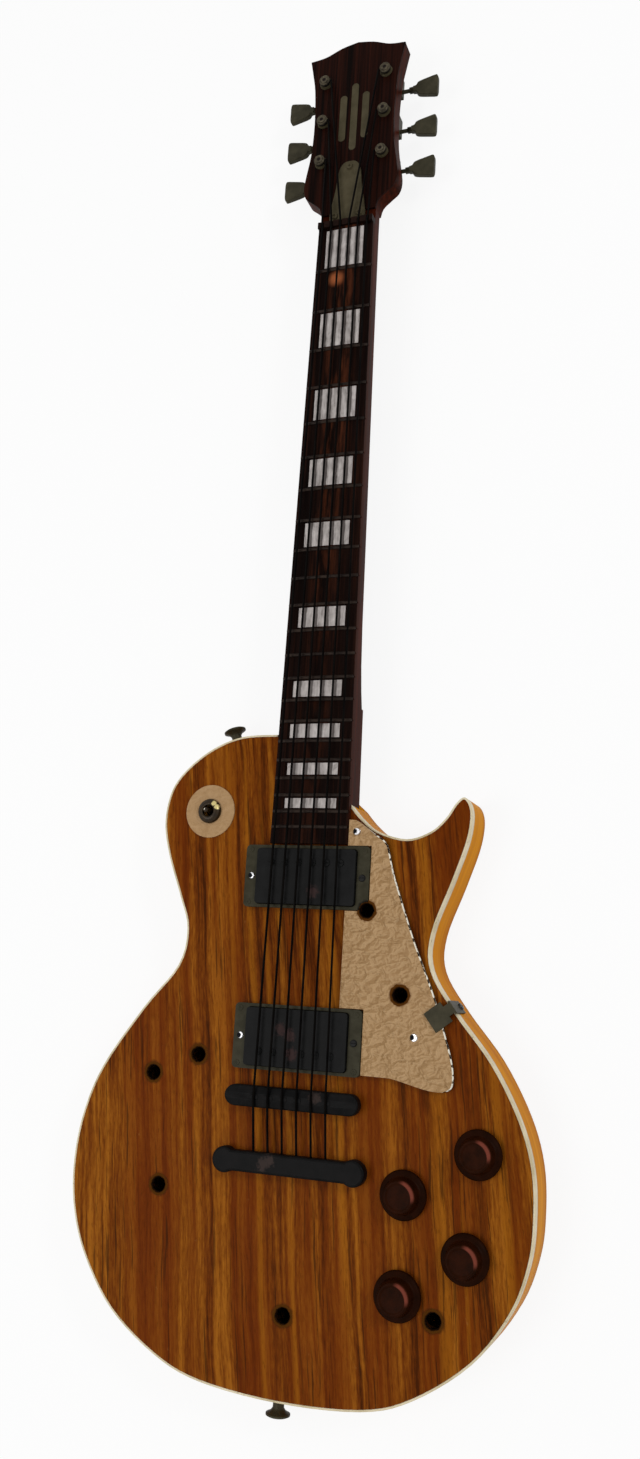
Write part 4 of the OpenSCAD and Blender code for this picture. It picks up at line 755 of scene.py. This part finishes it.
# ---------- Pieces that stay as they are, out of sight or nearly so ----------
for node, finish in (("truss_rod", STEEL), ("anchor_bushings", STEEL), ("guard_spacers", BLACK),
                     ("pots", STEEL), ("switch_body", BRASS), ("switch_cover", BLACK),
                     ("strap_screws", DARK_STEEL)):
    repainted(node, finish)

# ---------- Burnt crust round the holes ----------
CRUST_LIP, CRUST_DEPTH = 4.6, 1.2                      # of the ragged edge that hangs into a hole
CRUST_RINGS = ((5.1, 0.14), (5.9, 0.2), (6.8, 0.02))   # radius and height of the rings round it
ragged = random.Random(7)


def pushed(vert, reach, rise):
    """Moves a point of the crust that far out from the hole's middle, and to that height."""
    flat = Vector((vert.co.x, vert.co.y, 0)).normalized()
    vert.co = flat * reach * MM + Vector((0, 0, rise * MM))


for k, (x, y) in enumerate(BURNS):
    in_guard = k < BURNS_IN_GUARD
    shape = bmesh.new()
    lip = bmesh.ops.create_circle(shape, cap_ends=False, radius=CRUST_LIP * MM, segments=36)["verts"]
    edges = list(shape.edges)
    for reach, rise in CRUST_RINGS:
        made = bmesh.ops.extrude_edge_only(shape, edges=edges)["geom"]
        ring = [v for v in made if isinstance(v, bmesh.types.BMVert)]
        edges = [e for e in made if isinstance(e, bmesh.types.BMEdge) and all(v in ring for v in e.verts)]
        for v in ring:
            pushed(v, reach + ragged.uniform(-0.35, 0.35), rise)
    for v in lip:
        pushed(v, CRUST_LIP + ragged.uniform(-0.4, 0.3), -CRUST_DEPTH)
    bmesh.ops.recalc_face_normals(shape, faces=shape.faces)
    level = GUARD_FACE if in_guard else FACE_LEVEL
    bmesh.ops.translate(shape, verts=shape.verts, vec=(x * MM, y * MM, level * MM))
    finished("burnt_crust_%d" % (k + 1), shape, CHAR, "root",
             sharp=80)

# ---------- Floor and light ----------
FLOOR_GLOW = 0.88                                      # how much of the floor is plain white to the camera
WORLD_LIGHT = 0.62                                     # the world's strength as a light


def seen_by(tree):
    """1 where the camera sees a thing straight, in a gloss or through glass, and 0 where light spreads."""
    path = tree.nodes.new("ShaderNodeLightPath")
    seen = path.outputs["Is Camera Ray"]
    for ray in ("Is Glossy Ray", "Is Transmission Ray"):
        either = tree.nodes.new("ShaderNodeMath")
        either.operation = "MAXIMUM"
        tree.links.new(seen, either.inputs[0])
        tree.links.new(path.outputs[ray], either.inputs[1])
        seen = either.outputs[0]
    return seen


floor_shape = bmesh.new()
bmesh.ops.create_grid(floor_shape, x_segments=1, y_segments=1, size=6)
floor_mesh = bpy.data.meshes.new("floor")
floor_shape.to_mesh(floor_mesh)
floor_shape.free()
floor = bpy.data.objects.new("floor", floor_mesh)
bpy.context.scene.collection.objects.link(floor)
floor.location = (0, 0.3, -0.0005)
floor_material = bpy.data.materials.new("pale_floor")
floor_material.use_nodes = True
tree = floor_material.node_tree
tree.nodes.clear()
out = tree.nodes.new("ShaderNodeOutputMaterial")
blend = tree.nodes.new("ShaderNodeMixShader")
glow = tree.nodes.new("ShaderNodeEmission")
glow.inputs["Color"].default_value = (1, 1, 1, 1)
matt = tree.nodes.new("ShaderNodeBsdfDiffuse")
matt.inputs["Color"].default_value = (0.86, 0.86, 0.86, 1)
share = tree.nodes.new("ShaderNodeMath")
share.operation = "MULTIPLY"
share.inputs[1].default_value = FLOOR_GLOW
for start, end in ((seen_by(tree), share.inputs[0]), (share.outputs[0], blend.inputs[0]),
                   (matt.outputs[0], blend.inputs[1]), (glow.outputs[0], blend.inputs[2]),
                   (blend.outputs[0], out.inputs["Surface"])):
    tree.links.new(start, end)
floor_mesh.materials.append(floor_material)

world = bpy.data.worlds.new("studio")
bpy.context.scene.world = world
world.use_nodes = True
tree = world.node_tree
air = tree.nodes["Background"]
air.inputs["Color"].default_value = (1, 1, 1, 1)
strength = tree.nodes.new("ShaderNodeMapRange")
strength.inputs["To Min"].default_value = WORLD_LIGHT
strength.inputs["To Max"].default_value = 1.0
tree.links.new(seen_by(tree), strength.inputs["Value"])
tree.links.new(strength.outputs[0], air.inputs["Strength"])


def lamp(name, size, power, place, target):
    """A round lamp at a place, in metres, turned towards a target."""
    data = bpy.data.lights.new(name, "AREA")
    data.shape = "DISK"
    data.size = size
    data.energy = power
    piece = bpy.data.objects.new(name, data)
    bpy.context.scene.collection.objects.link(piece)
    piece.matrix_world = Matrix.Translation(place) @ (
        Vector(place) - Vector(target)).to_track_quat("Z", "Y").to_matrix().to_4x4()


lamp("key", 1.2, 12, (-0.9, -0.3, 1.9), (0, 0.1, 0))
lamp("fill", 0.45, 9, (1.5, 0.9, 1.4), (0, 0.2, 0))

bpy.context.scene.view_settings.view_transform = "Standard"
